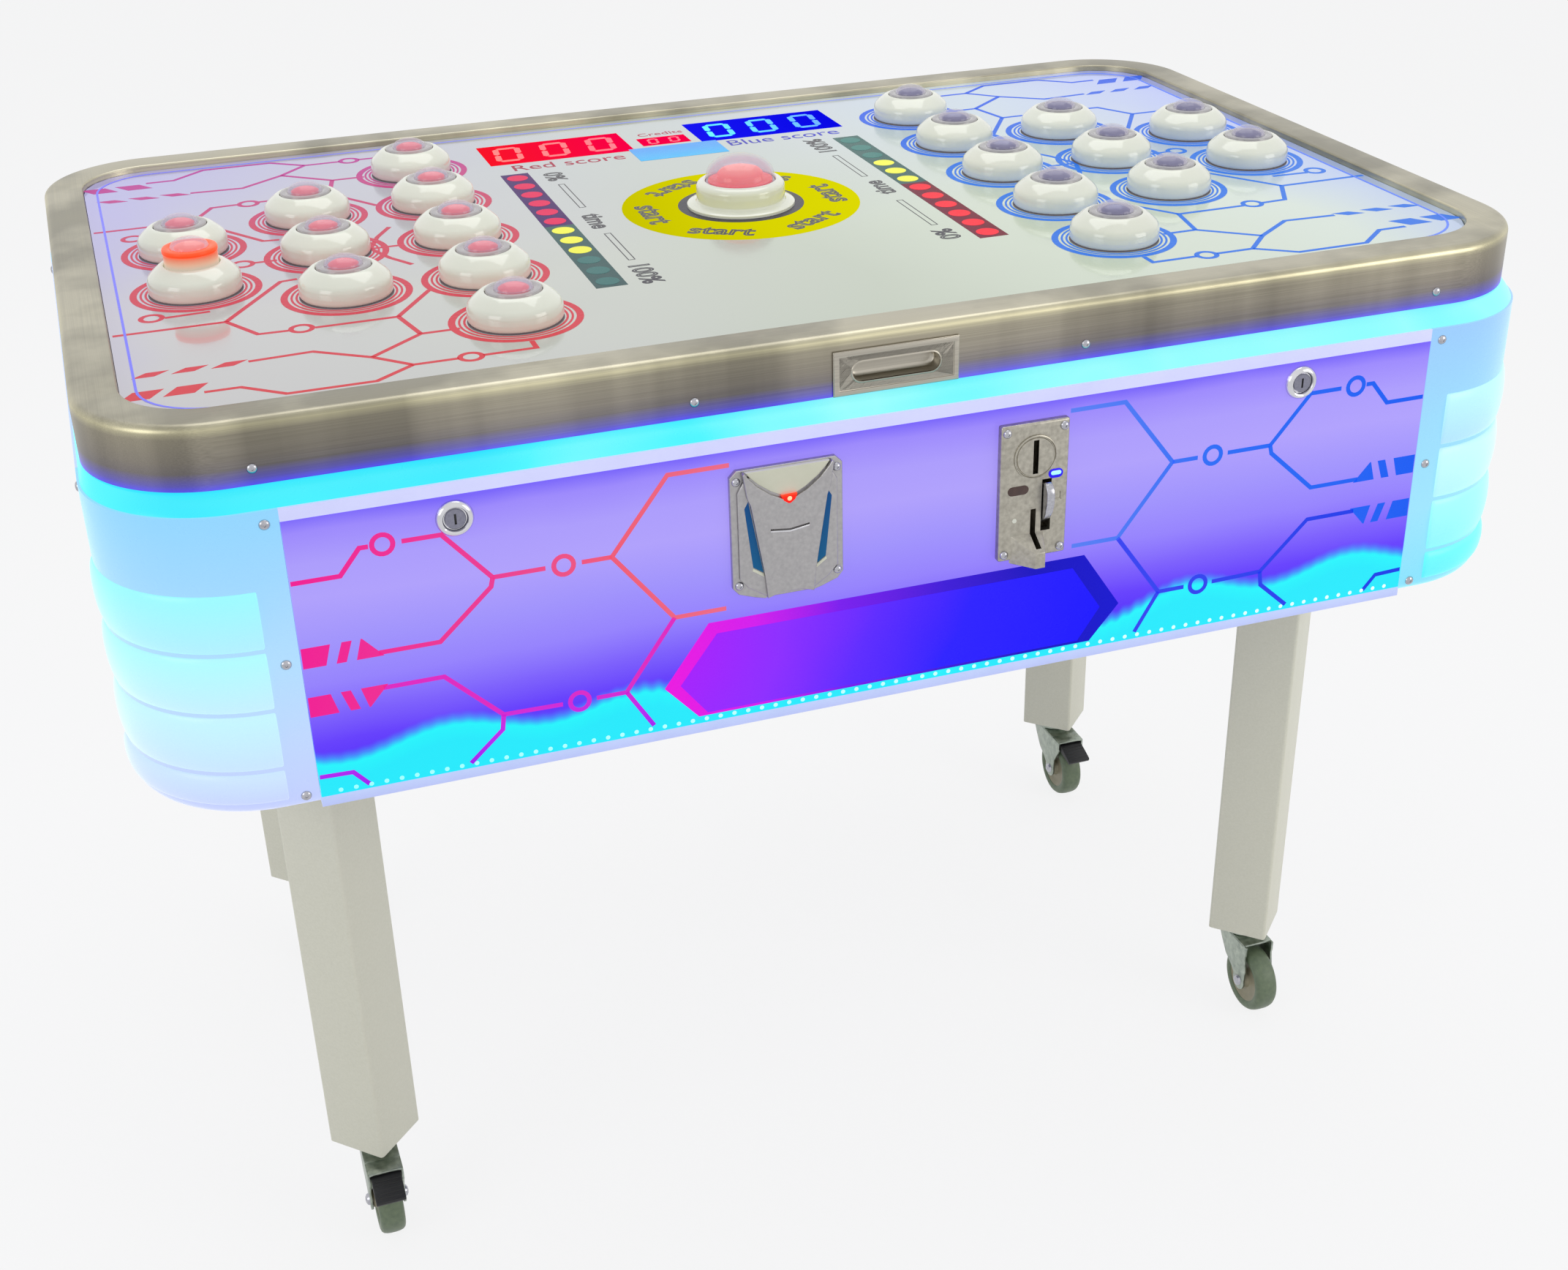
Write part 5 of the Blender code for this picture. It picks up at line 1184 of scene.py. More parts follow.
# %% Start button
START_HEIGHT = 0.0255
START_BORE = 0.0345
START_BODY_R = 0.0435
START_FLANGE_R = 0.053
START_SEAT = START_HEIGHT + 0.003
START_RISE = 0.021
start_body = [(0, DROP + 0.004), (START_BORE, DROP + 0.004), (START_BORE, COVER_TOP + START_HEIGHT - 0.0008),
              (START_BORE + 0.0010, COVER_TOP + START_HEIGHT)]
start_body += bend((START_BODY_R - 0.0072, COVER_TOP + START_HEIGHT - 0.0076), 0.0072, 84, 10, 7)
start_body += [(START_BODY_R, COVER_TOP + 0.0120), (START_BODY_R - 0.0002, COVER_TOP + 0.0070),
               (START_BODY_R + 0.0010, COVER_TOP + 0.0052), (START_BODY_R + 0.0040, COVER_TOP + 0.0043),
               (START_FLANGE_R - 0.0015, COVER_TOP + 0.0036), (START_FLANGE_R - 0.0002, COVER_TOP + 0.0026),
               (START_FLANGE_R, ON_SHEET), (0.044, ON_SHEET), (0.044, DROP), (0, DROP)]
piece("start_button_body", [turned(start_body, steps=64)], WHITE_GLOSS, "lid",
      ["start_button_housing"])

level = COVER_TOP + START_SEAT
crown = [(0.034 * math.sin(math.radians(a)), level + START_RISE * math.cos(math.radians(a))) for a in range(0, 91, 9)]
hollow = [(0.0322 * math.sin(math.radians(a)), level - 0.002 + 0.0208 * math.cos(math.radians(a)))
          for a in range(90, -1, -9)]
piece("start_dome_lens", [turned([*crown, (0.034, level - 0.005), (0.0322, level - 0.005), *hollow], steps=56)],
      CLEAR_START, "start_dome", ["start_dome"])
START_CORE = lit("start_core", [(0.0, (232, 44, 20)), (0.6, (252, 76, 36)), (1.0, (255, 126, 84))], start=0.948,
                 end=0.962, glow=0.9, own=0.3)
disc = [(0, level + 0.0090), (0.0120, level + 0.0084), (0.0190, level + 0.0062), (0.0222, level + 0.0030),
        (0.0226, level - 0.0010), (0.0250, level - 0.0030), (0.0315, level - 0.0034), (0.0315, level - 0.0048),
        (0, level - 0.0048)]
piece("start_dome_core", [turned(disc, steps=48)], START_CORE, "start_dome")
stem = [(0, level - 0.0050), (0.034, level - 0.0052), (0.034, level - 0.0240), (0.0325, level - 0.0248),
        (0.008, level - 0.0248), (0.008, COVER_TOP + 0.010 + FOOT_HEIGHT), (0, COVER_TOP + 0.010 + FOOT_HEIGHT)]
piece("start_dome_sleeve", [turned(stem, steps=48)], SLEEVE, "start_dome")
print("start button stands", round(START_SEAT + START_RISE, 4), "high")

# %% [markdown]
# ## Print on the playfield
# Fine lines run from button to button like tracks on a circuit board, red on the left and blue on the right. Only one
# quarter is drawn: the lines are mirrored from front to rear, and again for the other player.


# %% Playfield lines
def printed(name, parts, ink, body="lid", place=None):
    """A piece of thin print, whose edges stay sharp."""
    return piece(name, parts, ink, body, sharp=20, place=place)


def mm(points):
    return [(x / 1000, y / 1000) for x, y in points]


def mirrored(points, x_side, y_side):
    return [(x * x_side, y * y_side) for x, y in points]


QUARTER = [mm(line) for line in (
    [(505, 261), (453, 258), (410, 290), (382, 320), (345, 320)],
    [(410, 290), (363, 250), (330, 250)],
    [(325, 320), (281, 320), (281, 303)],
    [(382, 320), (415, 345), (485, 345), (517, 317), (545, 317)],
    [(363, 250), (373, 200), (443, 200)],
    [(465, 199), (490, 198), (512, 156), (605, 156)],
    [(512, 156), (455, 65), (440, 63)],
    [(373, 200), (335, 140)],
    [(560, 125), (522, 123)],
    [(336, 62), (352, 34)])]
MIDDLE_LINES = [mm([(352, 34), (364, 0), (335, 0)]), mm([(352, -34), (364, 0)]), mm([(470, 0), (450, 0)])]
SMALL_RINGS = [(0.335, 0.320), (0.454, 0.198), (0.571, 0.122)]
LINE = 0.0046
SMALL_RING_R = 0.009
THIN_RINGS = (0.0435, 0.0478)
BROAD_RING = 0.0542


def slanted_bars(first, count, level, width, height, pitch, lean=0.012):
    """A row of leaning bars, as on a warning stripe."""
    bars = []
    for i in range(count):
        x = first + i * pitch
        bars.append([(x, level - height / 2), (x + width, level - height / 2),
                     (x + width + lean, level + height / 2), (x + lean, level + height / 2)])
    return bars


for side, colour, ink in ((-1, "red", RED_LINE), (1, "blue", SKY_LINE)):
    paths = [mirrored(line, side, y_side) for line in QUARTER for y_side in (-1, 1)]
    paths += [mirrored(line, side, 1) for line in MIDDLE_LINES]
    rings = [circle_points((side * x, y_side * y), SMALL_RING_R, 20) for x, y in SMALL_RINGS for y_side in (-1, 1)]
    rings.append(circle_points((side * 0.481, 0), SMALL_RING_R, 20))
    bars = slanted_bars(0.505, 3, 0.261, 0.018, 0.010, 0.031) + slanted_bars(0.540, 2, 0.306, 0.024, 0.018, 0.034)
    solid = [outline(mirrored(bar, side, y_side), 0, INK) for bar in bars for y_side in (-1, 1)]
    printed(f"{colour}_playfield_lines", [ribbons(paths, LINE, rings), *solid], ink, place=layer(0))
    thin = [circle_points(place, radius, 48) for place in button_places(side) for radius in THIN_RINGS]
    broad = [circle_points(place, BROAD_RING, 48) for place in button_places(side)]
    printed(f"{colour}_button_rings", [ribbons([], 0.0020, thin), ribbons([], 0.0062, broad)], ink, place=layer(1))
print("lines for each player:", len(paths), "rings:", len(rings) + len(thin) + len(broad))

# %% [markdown]
# The middle of the playfield holds the score windows, two scales of coloured lamps and the start button's yellow disc.
# Everything is laid as thin ink, each layer a tenth of a millimetre above the one below so that no two faces share a
# plane.


# %% Start disc
def flat(points, number):
    return outline(points, 0, INK), layer(number)


DISC_R = 0.117
DISC_HOLE = 0.046
RING_R = 0.062


def ring(inner, outer, number):
    """A printed ring, clear of the button that passes through it."""
    return ribbons([], outer - inner, [circle_points((0, 0), (inner + outer) / 2, 72)]), layer(number)


printed("start_disc", [ring(DISC_HOLE, DISC_R, 0)], YELLOW_INK)
# The dark ring round the start button is painted shadow.
printed("start_painted_shadow_ring", [ring(DISC_HOLE, RING_R, 1)], START_SHADOW_INK)
around = [(words("start", 0.034, outline_only=True), layer(1) @ turn(angle, "Z") @ at(0, -0.090, 0))
          for angle in range(30, 390, 60)]
printed("start_words", around, GREY_INK)
print("start words:", len(around))

# %% Score windows
RED_WINDOW = (-0.199, -0.042, 0.235, 0.313)
BLUE_WINDOW = (0.035, 0.197, 0.238, 0.318)
CREDIT_WINDOW = (-0.029, 0.025, 0.247, 0.278)
PATCH = (-0.048, 0.050, 0.190, 0.240)


def rectangle(x0, x1, y0, y1):
    return [(x0, y0), (x1, y0), (x1, y1), (x0, y1)]


def nought(middle, width, height, stroke, lean=0.1):
    """A seven-bar figure with all but its middle bar lit."""
    half_w, half_h, s = width / 2, height / 2, stroke / 2
    gap = stroke * 0.12
    bars = [[(-half_w + s + gap, y), (-half_w + 2 * s, y - s), (half_w - 2 * s, y - s), (half_w - s - gap, y),
             (half_w - 2 * s, y + s), (-half_w + 2 * s, y + s)] for y in (half_h - s, -half_h + s)]
    bars += [[(x, y0 + gap), (x + s, y0 + s + gap), (x + s, y1 - s), (x, y1 - gap), (x - s, y1 - s),
              (x - s, y0 + s + gap)]
             for y0, y1 in ((0, half_h - s), (-half_h + s, 0)) for x in (-half_w + s, half_w - s)]
    return [outline([(middle[0] + x + lean * y, middle[1] + y) for x, y in bar], 0, INK) for bar in bars]


red_digits = [nought((x, 0.274), 0.030, 0.056, 0.0065) for x in (-0.172, -0.121, -0.070)]
blue_digits = [nought((x, 0.278), 0.030, 0.056, 0.0065) for x in (0.066, 0.116, 0.166)]
credit_digits = [nought((x, 0.2625), 0.012, 0.021, 0.0028) for x in (-0.014, 0.010)]
printed("red_score_window", [flat(rectangle(*RED_WINDOW), 0), flat(rectangle(*CREDIT_WINDOW), 0)], SCORE_RED)
printed("blue_score_window", [flat(rectangle(*BLUE_WINDOW), 0)], SCORE_BLUE)
printed("red_score_digits", [(bar, layer(1)) for figure in red_digits + credit_digits for bar in figure], DIGIT_RED)
printed("blue_score_digits", [(bar, layer(1)) for figure in blue_digits for bar in figure], DIGIT_BLUE)
printed("sensor_patch", [flat(rectangle(*PATCH), 1)], CYAN_PATCH)
printed("red_score_words", [(words("Red score", 0.030, (-0.120, 0.216)), layer(0)),
                            (words("Credits", 0.017, (0.002, 0.292)), layer(0))], CRIMSON_INK)
printed("blue_score_words", [(words("Blue score", 0.030, (0.121, 0.220)), layer(0))], INDIGO_INK)
INSET = 0.013
EDGE_CORNER = 0.060
edge = []
for first, x_side, y_side in ((0, 1, 1), (90, -1, 1), (180, -1, -1), (270, 1, -1)):
    centre = (x_side * (RIM_HALF[0] - RIM_BAND - INSET - EDGE_CORNER),
              y_side * (RIM_HALF[1] - RIM_BAND - INSET - EDGE_CORNER))
    edge += circle_points(centre, EDGE_CORNER, 10, first, first + 90)
printed("playfield_edge_line", [(ribbons([], 0.0022, [edge]), layer(2))], EDGE_LINE)
print("score figures:", len(red_digits + blue_digits + credit_digits))

# %% Time scales
BAR_X = (0.169, 0.198)
BAR_END = 0.195
films = {"red": [], "yellow": [], "teal": []}
lamps = {"red": [], "yellow": [], "teal": []}
shares = (("red", 6), ("yellow", 3), ("teal", 3))
for side in (-1, 1):
    y = side * -BAR_END
    step = side * 2 * BAR_END / 12
    for colour, count in shares:
        film_x = sorted((side * BAR_X[0], side * BAR_X[1]))
        low, high = sorted((y, y + count * step))
        films[colour].append(flat(rectangle(*film_x, low, high), 0))
        for i in range(count):
            lamps[colour].append(flat(circle_points((side * sum(BAR_X) / 2, y + (i + 0.5) * step), 0.0108, 24), 1))
        y += count * step
printed("red_scale_films", films["red"], BAR_RED)
printed("yellow_scale_films", films["yellow"] + films["teal"], BAR_TEAL)
printed("red_scale_lamps", lamps["red"], DOT_RED)
printed("yellow_scale_lamps", lamps["yellow"], DOT_YELLOW)
printed("teal_scale_lamps", lamps["teal"], DOT_TEAL)

scale_words = []
for side in (-1, 1):
    seat = layer(0) @ turn(0 if side < 0 else 180, "Z")
    for text, y in (("0%", 0.170), ("time", 0.001), ("100%", -0.170)):
        scale_words.append((words(text, 0.027, (-0.147, y), -90, outline_only=True), seat))
    for y0, y1 in ((0.051, 0.139), (-0.128, -0.042)):
        scale_words.append((ribbons([], 0.0010, [rectangle(-0.150, -0.144, y0, y1)]), seat))
printed("time_scale_words", scale_words, GREY_INK)
print("playfield print done")

# %% [markdown]
# ## Print on the panels
# The front panel repeats the hexagon tracks, again red on the left and blue on the right. Low down, where the sheet
# turns violet, the lines darken. A broad hexagonal plate is printed low in the middle.

# %% Panel lines
PANEL_LINE = 0.0040
PANEL_RING_R = 0.0082
FRONT_HIGH = [mm(line) for line in (
    [(153, 840), (205, 840), (255, 776), (205, 711), (160, 711)],
    [(255, 776), (280, 776)], [(310, 776), (353, 776)],
    [(353, 776), (390, 820), (421, 820)], [(447, 820), (454, 820), (471, 799), (509, 799)],
    [(353, 776), (355, 768), (400, 727), (449, 727)])]
FRONT_LOW = [mm(line) for line in (
    [(205, 711), (250, 649), (276, 649)], [(305, 649), (355, 650), (400, 695), (449, 695)],
    [(355, 650), (357, 636), (386, 610)], [(250, 649), (228, 612)], [(509, 624), (482, 623), (470, 609)])]
HIGH_RINGS = [(0.295, 0.776), (0.436, 0.820)]
LOW_RINGS = [(0.2905, 0.649)]
ARROWS = [mm(shape) for shape in (
    [(509, 724), (491, 724), (486, 742), (509, 742)], [(483, 724), (475, 724), (469, 742), (477, 742)],
    [(467, 724), (445, 724), (461, 742), (462, 742)],
    [(509, 698), (491, 698), (486, 680), (509, 680)], [(483, 698), (475, 698), (469, 680), (477, 680)],
    [(467, 698), (445, 698), (461, 680), (462, 680)])]
for side, colour, high, low in ((-1, "red", PINK_INK, PURPLE_INK), (1, "blue", BLUE_INK, VIOLET_INK)):
    for level, lines, rings, shapes, ink in (("upper", FRONT_HIGH, HIGH_RINGS, ARROWS, high),
                                             ("lower", FRONT_LOW, LOW_RINGS, [], low)):
        loops = [circle_points((side * x, z), PANEL_RING_R, 20) for x, z in rings]
        inked = [ribbons([mirrored(line, side, 1) for line in lines], PANEL_LINE, loops)]
        inked += [outline(mirrored(shape, side, 1), 0, INK) for shape in shapes]
        printed(f"front_{colour}_{level}_lines", inked, ink, "service_panel", ON_FRONT)
print("panel lines for each player:", len(FRONT_HIGH) + len(FRONT_LOW))

# %% Hexagonal plate
HEX_EDGE = lit("hexagon_edge", [(0.0, (236, 10, 222)), (0.2, (210, 20, 236)), (0.38, (120, 20, 236)),
                                (0.6, (60, 16, 214)), (0.8, (14, 4, 190)), (1.0, (6, 4, 206))], RIGHT, -0.22,
               0.21, glow=0.8)
HEX_FILL = lit("hexagon_fill", [(0.0, (168, 20, 250)), (0.25, (140, 40, 255)), (0.45, (92, 36, 255)),
                                (0.66, (40, 24, 255)), (1.0, (18, 8, 255))], (1, 0, -0.4), -0.48, -0.07, glow=0.8,
               unevenness=0.04)
hexagon = mm([(-217, 645), (-176, 700), (173, 700), (210, 645), (182, 612), (-188, 612)])
smaller = mm([(-203, 645), (-169, 689), (162, 689), (191, 645), (170, 614.5), (-180, 614.5)])
printed("hexagon_plate_edge", [outline(hexagon, 0, INK)], HEX_EDGE, "service_panel", ON_FRONT)
printed("hexagon_plate", [outline(smaller, INK, 2 * INK)], HEX_FILL, "service_panel", ON_FRONT)
print("hexagon corners:", len(hexagon))

# %% Side and rear lines
REAR_LINES = [mm(line) for line in (
    [(93, 840), (145, 840), (195, 776), (145, 711), (93, 711)], [(145, 711), (190, 649), (221, 649)],
    [(240, 649), (295, 650), (340, 697), (455, 697)], [(190, 649), (168, 612)],
    [(295, 650), (297, 636), (326, 610)], [(455, 734), (400, 734)], [(509, 799), (471, 799), (453, 820)])]
for side, colour, ink in ((1, "red", PINK_INK), (-1, "blue", BLUE_INK)):
    inked = [ribbons([mirrored(line, side, 1) for line in REAR_LINES], PANEL_LINE,
                     [circle_points((side * 0.2305, 0.649), PANEL_RING_R, 20)])]
    inked += [outline(mirrored(shape, side, 1), 0, INK) for shape in ARROWS]
    printed(f"rear_{colour}_lines", inked, ink, "cabinet", ON_REAR)

SIDE_LINES = [mm(line) for line in (
    [(0, 776), (31, 776)], [(31, 776), (68, 818), (118, 818), (155, 776), (118, 727), (68, 727), (31, 776)],
    [(155, 776), (190, 776)], [(209, 776), (240, 776), (262, 800), (281, 800)], [(118, 727), (150, 690), (190, 690)],
    [(68, 727), (40, 690), (0, 690)], [(150, 690), (172, 655), (281, 655)], [(40, 690), (60, 655), (100, 655)])]
SIDE_INK = {-1: lit("side_red_ink", ((180, 24, 240), (240, 50, 160), (246, 60, 120)),
                    start=PANEL_LOW, end=PANEL_TOP, glow=0.75),
            1: lit("side_blue_ink", ((30, 50, 240), (30, 100, 250), (90, 130, 250)),
                   start=PANEL_LOW, end=PANEL_TOP, glow=0.75)}
for side, name in ((-1, "left"), (1, "right")):
    stand = at(side * SIDE_FACE, 0, 0) @ turn(side * 90, "Z") @ turn(90, "X")
    paths = [mirrored(line, half, 1) for line in SIDE_LINES for half in (-1, 1)]
    loops = [circle_points((half * 0.1995, 0.776), PANEL_RING_R, 20) for half in (-1, 1)]
    printed(f"{name}_side_lines", [ribbons(paths, PANEL_LINE, loops)], SIDE_INK[side], "cabinet", stand)
print("panel print done")

# %% [markdown]
# ## Pull handle
# The lid is lifted by a flush pull in the front of the rim: a brushed plate with a pressed border and a round-ended
# cup for the fingertips. The cup is a shell of its own behind the plate's opening.


# %% Flush pull
def round_ended(half_length, half_height, middle, count=10):
    """A slot shape with round ends."""
    straight = half_length - half_height
    return (circle_points((straight, middle), half_height, count, -90, 90)
            + circle_points((-straight, middle), half_height, count, 90, 270))


PLATE_HALF = ((pull_high.x - pull_low.x) / 2, (pull_high.z - pull_low.z) / 2)
PLATE_BACK = -RIM_HALF[1] - GAP
plate = box((-PLATE_HALF[0], PULL_FRONT + 0.0009, PULL_MIDDLE - PLATE_HALF[1]),
            (PLATE_HALF[0], PLATE_BACK, PULL_MIDDLE + PLATE_HALF[1]), 0.0005, 2)
border = box((-PLATE_HALF[0] + 0.0005, PULL_FRONT, PULL_MIDDLE - PLATE_HALF[1] + 0.0005),
             (PLATE_HALF[0] - 0.0005, PLATE_BACK - 0.0008, PULL_MIDDLE + PLATE_HALF[1] - 0.0005), 0.0006, 3)
sunk = box((-PLATE_HALF[0] + 0.0048, PULL_FRONT - 0.01, PULL_MIDDLE - PLATE_HALF[1] + 0.0044),
           (PLATE_HALF[0] - 0.0048, PULL_FRONT + 0.0009, PULL_MIDDLE + PLATE_HALF[1] - 0.0044), 0.0007, 2)
opening = [outline(round_ended(0.039, 0.0085, PULL_MIDDLE), PULL_FRONT - 0.02, PLATE_BACK + 0.002, "Y")
           for _ in range(2)]
cup = cut_away(outline(round_ended(0.0405, 0.0100, PULL_MIDDLE), PULL_FRONT + 0.0002, PULL_FRONT + 0.0165, "Y", 0.0012),
               outline(round_ended(0.039, 0.0085, PULL_MIDDLE), PULL_FRONT - 0.01, PULL_FRONT + 0.0150, "Y", 0.0040))
piece("flush_pull_plate", [cut_away(plate, opening[0]), cut_away(border, sunk, opening[1]), cup], PULL_STEEL, "lid",
      ["lid_pull_handle"], sharp=30)
print("pull plate:", round(2 * PLATE_HALF[0], 3), "by", round(2 * PLATE_HALF[1], 3))

# %% [markdown]
# ## Cam locks
# A cam lock shows a chromed collar, a sunk plug and a short key slot. Behind the panel are its threaded barrel and
# the cam. Collar, plug and barrel are turned; the slot is cut.

# %% Cam locks
LOCK_X = 0.378
PANEL_SHEET = 0.003
LOCK_NUT = 0.006
for side, name in ((-1, "left_cam_lock"), (1, "right_cam_lock")):
    low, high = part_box(name)
    x = side * LOCK_X
    z = (low.z + high.z) / 2
    face = low.y - MIDDLE.y
    collar = [(0, -0.0018), (0.0094, -0.0018), (0.0097, -0.0004), (0.0104, 0.0008), (0.0116, 0.0013),
              (0.0130, 0.0009), (0.0143, -0.0003), (0.0151, -0.0018), (0.0154, -0.0030), (0.0095, -0.0031),
              (0.0095, -0.0140), (0, -0.0140)]
    body = turned(collar, (x, face, z), "Y", 40)
    plug = turned([(0, 0.0), (0.0080, 0.0), (0.0086, -0.0006), (0.0086, -0.0030), (0, -0.0030)], (x, face + 0.0004, z),
                  "Y", 32)
    plug = cut_away(plug, box((x - 0.0009, face - 0.01, z - 0.0044), (x + 0.0009, face + 0.0022, z + 0.0044)))
    cam_face = face + GAP + PANEL_SHEET + LOCK_NUT + GAP
    cam = box((min(x - side * 0.025, x + side * 0.007), cam_face, z - 0.005),
              (max(x - side * 0.025, x + side * 0.007), cam_face + 0.0025, z + 0.005), 0.0008, 2)
    piece(f"{name}_set", [body, cam], CHROME, name, [name], sharp=30)
    piece(f"{name}_plug", [plug], PLUG_STEEL, name, sharp=30)
    # The black sheet in the key slot is painted shade, standing in for the depth of the keyway.
    piece(f"{name}_key_slot", [box((x - 0.00085, face + 0.0014, z - 0.0043), (x + 0.00085, face + 0.0021, z + 0.0043))],
          BLACK, name)
print("cam locks at", -LOCK_X, LOCK_X)

# %% [markdown]
# ## Coin acceptor
# The acceptor is a die-cast plate with a coin disc, a lamp, a small dark window, a reject lever and a plough-shaped
# lip where rejected coins drop out. The plate is cut where coins pass, and each fitting is a small bevelled piece.

# %% Coin acceptor plate
accept_low, accept_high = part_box("coin_acceptor")
COIN_X = (accept_low.x + accept_high.x) / 2
COIN_TOP = accept_high.z
COIN_BOTTOM = COIN_TOP - 0.126
PANEL_SEAT = PANEL_FRONT - GAP
COIN_FACE = PANEL_SEAT - 0.008
DISC_Z = COIN_TOP - 0.031
SLOT_HALF = 0.0025


def fitting(name, parts, finish):
    """A small bevelled piece of a front fitting, riding on the service panel."""
    return piece(name, parts, finish, body="service_panel")


def coin_cuts():
    return [box((COIN_X - SLOT_HALF, COIN_FACE - 0.01, DISC_Z - 0.0155), (COIN_X + SLOT_HALF, PANEL_SEAT + 0.014,
                                                                          DISC_Z + 0.0155)),
            box((COIN_X - SLOT_HALF, COIN_FACE - 0.014, COIN_BOTTOM + 0.006),
                (COIN_X + SLOT_HALF, PANEL_SEAT + 0.010, COIN_BOTTOM + 0.046)),
            box((COIN_X + 0.0075, COIN_FACE - 0.01, COIN_BOTTOM + 0.024),
                (COIN_X + 0.0165, COIN_FACE + 0.019, COIN_BOTTOM + 0.0725))]


plate = box((COIN_X - 0.032, COIN_FACE, COIN_BOTTOM), (COIN_X + 0.032, PANEL_SEAT, COIN_TOP), 0.0022, 4)
casing = box((COIN_X - 0.0285, PANEL_SEAT - 0.001, COIN_BOTTOM + 0.0035),
             (COIN_X + 0.0285, accept_high.y - MIDDLE.y, COIN_TOP - 0.0035), 0.001, 2)
disc = turned([(0, 0.0016), (0.0172, 0.0016), (0.0178, 0.0006), (0.0184, 0.0006), (0.0190, 0.0016),
               (0.0198, 0.0012), (0.0201, 0.0), (0.0201, -0.002), (0, -0.002)], (COIN_X, COIN_FACE, DISC_Z), "Y", 48)
lip = outline([(COIN_X - 0.021, COIN_FACE + 0.001), (COIN_X - 0.0045, COIN_FACE - 0.0178),
               (COIN_X + 0.0045, COIN_FACE - 0.0178), (COIN_X + 0.0100, COIN_FACE + 0.001)], COIN_BOTTOM - 0.003,
              COIN_BOTTOM + 0.0235, "Z", 0.0006)
for vert in lip.verts:
    reach = (COIN_FACE - vert.co.y) / 0.0178
    if vert.co.z > COIN_BOTTOM + 0.01:
        vert.co.z -= 0.012 * max(0.0, reach)
bracket = [box((COIN_X + 0.012, COIN_FACE - 0.0006, COIN_TOP - 0.0745),
               (COIN_X + 0.026, COIN_FACE + 0.0005, COIN_TOP - 0.0735), 0.0002, 1),
           box((COIN_X + 0.025, COIN_FACE - 0.0006, COIN_TOP - 0.0745),
               (COIN_X + 0.026, COIN_FACE + 0.0005, COIN_TOP - 0.0675), 0.0002, 1)]
solids = [cut_away(part, *coin_cuts()) for part in (plate, casing, disc, lip)]
piece("coin_acceptor_plate", solids + bracket, CAST, "service_panel", ["coin_acceptor"], sharp=30)
piece("coin_acceptor_screws", [screw(0.0040, 0.0026, (COIN_X + x, COIN_FACE, z), "-Y") for x in (-0.0265, 0.0265)
                               for z in (COIN_TOP - 0.0065, COIN_BOTTOM + 0.0065)], SCREW_STEEL, "service_panel")
print("coin plate solids:", len(solids))

# %% Lamp, window, dot and lever
BLUE_BEZEL = lit("blue_lamp_bezel", ((20, 10, 230), (60, 40, 254)), start=COIN_TOP - 0.056,
                 end=COIN_TOP - 0.043, glow=0.8)
BLUE_LAMP = lit("cyan_white_lamp", ((120, 230, 254), (190, 250, 254)), start=COIN_TOP - 0.053,
                end=COIN_TOP - 0.046, glow=0.95)
BROWN_GLASS = grained("dark_window", (62, 42, 38), (92, 64, 56), (0.08, 0.14), scale=220)
lamp_at = (COIN_X + 0.0200, COIN_TOP - 0.0495)


def pill(half_length, half_height, middle, low, high, bevel):
    """A round-ended fitting on the coin plate, low and high measured from its face."""
    points = [(x + middle[0], z) for x, z in round_ended(half_length, half_height, middle[1])]
    return outline(points, COIN_FACE + low, COIN_FACE + high, "Y", bevel)


bezel = pill(0.0068, 0.0042, lamp_at, -0.0007, 0.0005, 0.0003)
glass = pill(0.0048, 0.0019, (lamp_at[0], lamp_at[1] + 0.0007), -0.0012, -0.0005, 0.0003)
fitting("coin_lamp_bezel", [bezel], BLUE_BEZEL)
fitting("coin_lamp", [glass], BLUE_LAMP)
window_at = (COIN_X - 0.0150, COIN_TOP - 0.0605)
window = pill(0.0098, 0.0042, window_at, -0.0004, 0.0004, 0.0002)
fitting("coin_window", [window], BROWN_GLASS)
fitting("coin_white_dot", [turned([(0, 0.0007), (0.0018, 0.0005), (0.0022, 0), (0, 0)],
                                  (COIN_X - 0.0175, COIN_FACE, COIN_TOP - 0.0885), "Y", 20)], WHITE_GLOSS)

lever_low, lever_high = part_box("coin_return_lever")
LEVER_X = (lever_low.x + lever_high.x) / 2
lever_foot = lever_high.z - 0.042
pivot = (COIN_FACE + 0.008, lever_foot + 0.008)
fin = circle_points(pivot, 0.0070, 10, 20, -150) + [(COIN_FACE + y, lever_foot + z) for y, z in (
    (-0.0035, 0.009), (-0.0072, 0.016), (-0.0095, 0.024), (-0.0099, 0.031), (-0.0090, 0.0365), (-0.0060, 0.0402),
    (-0.0020, 0.0418), (0.0022, 0.0400), (0.0038, 0.0340), (0.0075, 0.0200))]
pin = turned([(0, 0.0041), (0.0019, 0.0041), (0.0019, -0.0041), (0, -0.0041)], (LEVER_X, *pivot), "X", 20)
piece("curved_reject_lever", [outline(fin, LEVER_X - 0.0035, LEVER_X + 0.0035, "X", 0.0009), pin], SCREW_STEEL,
      "coin_return_lever", ["coin_return_lever"], sharp=30)
print("lever from", round(lever_low.z, 3), "to", round(lever_high.z, 3))

# %% [markdown]
# ## Card reader
# The reader is a satin shield: a base plate with four screws, a raised middle that narrows to a wavy chin, a pale
# hollow at the top with a red lamp at its lowest point, two slanted blue inlays and a thin slot. Each level is an
# outline with bevelled edges.

# %% Card reader
READER_X = -0.106
reader_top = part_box("card_reader")[1].z
reader_bottom = reader_top - 0.112


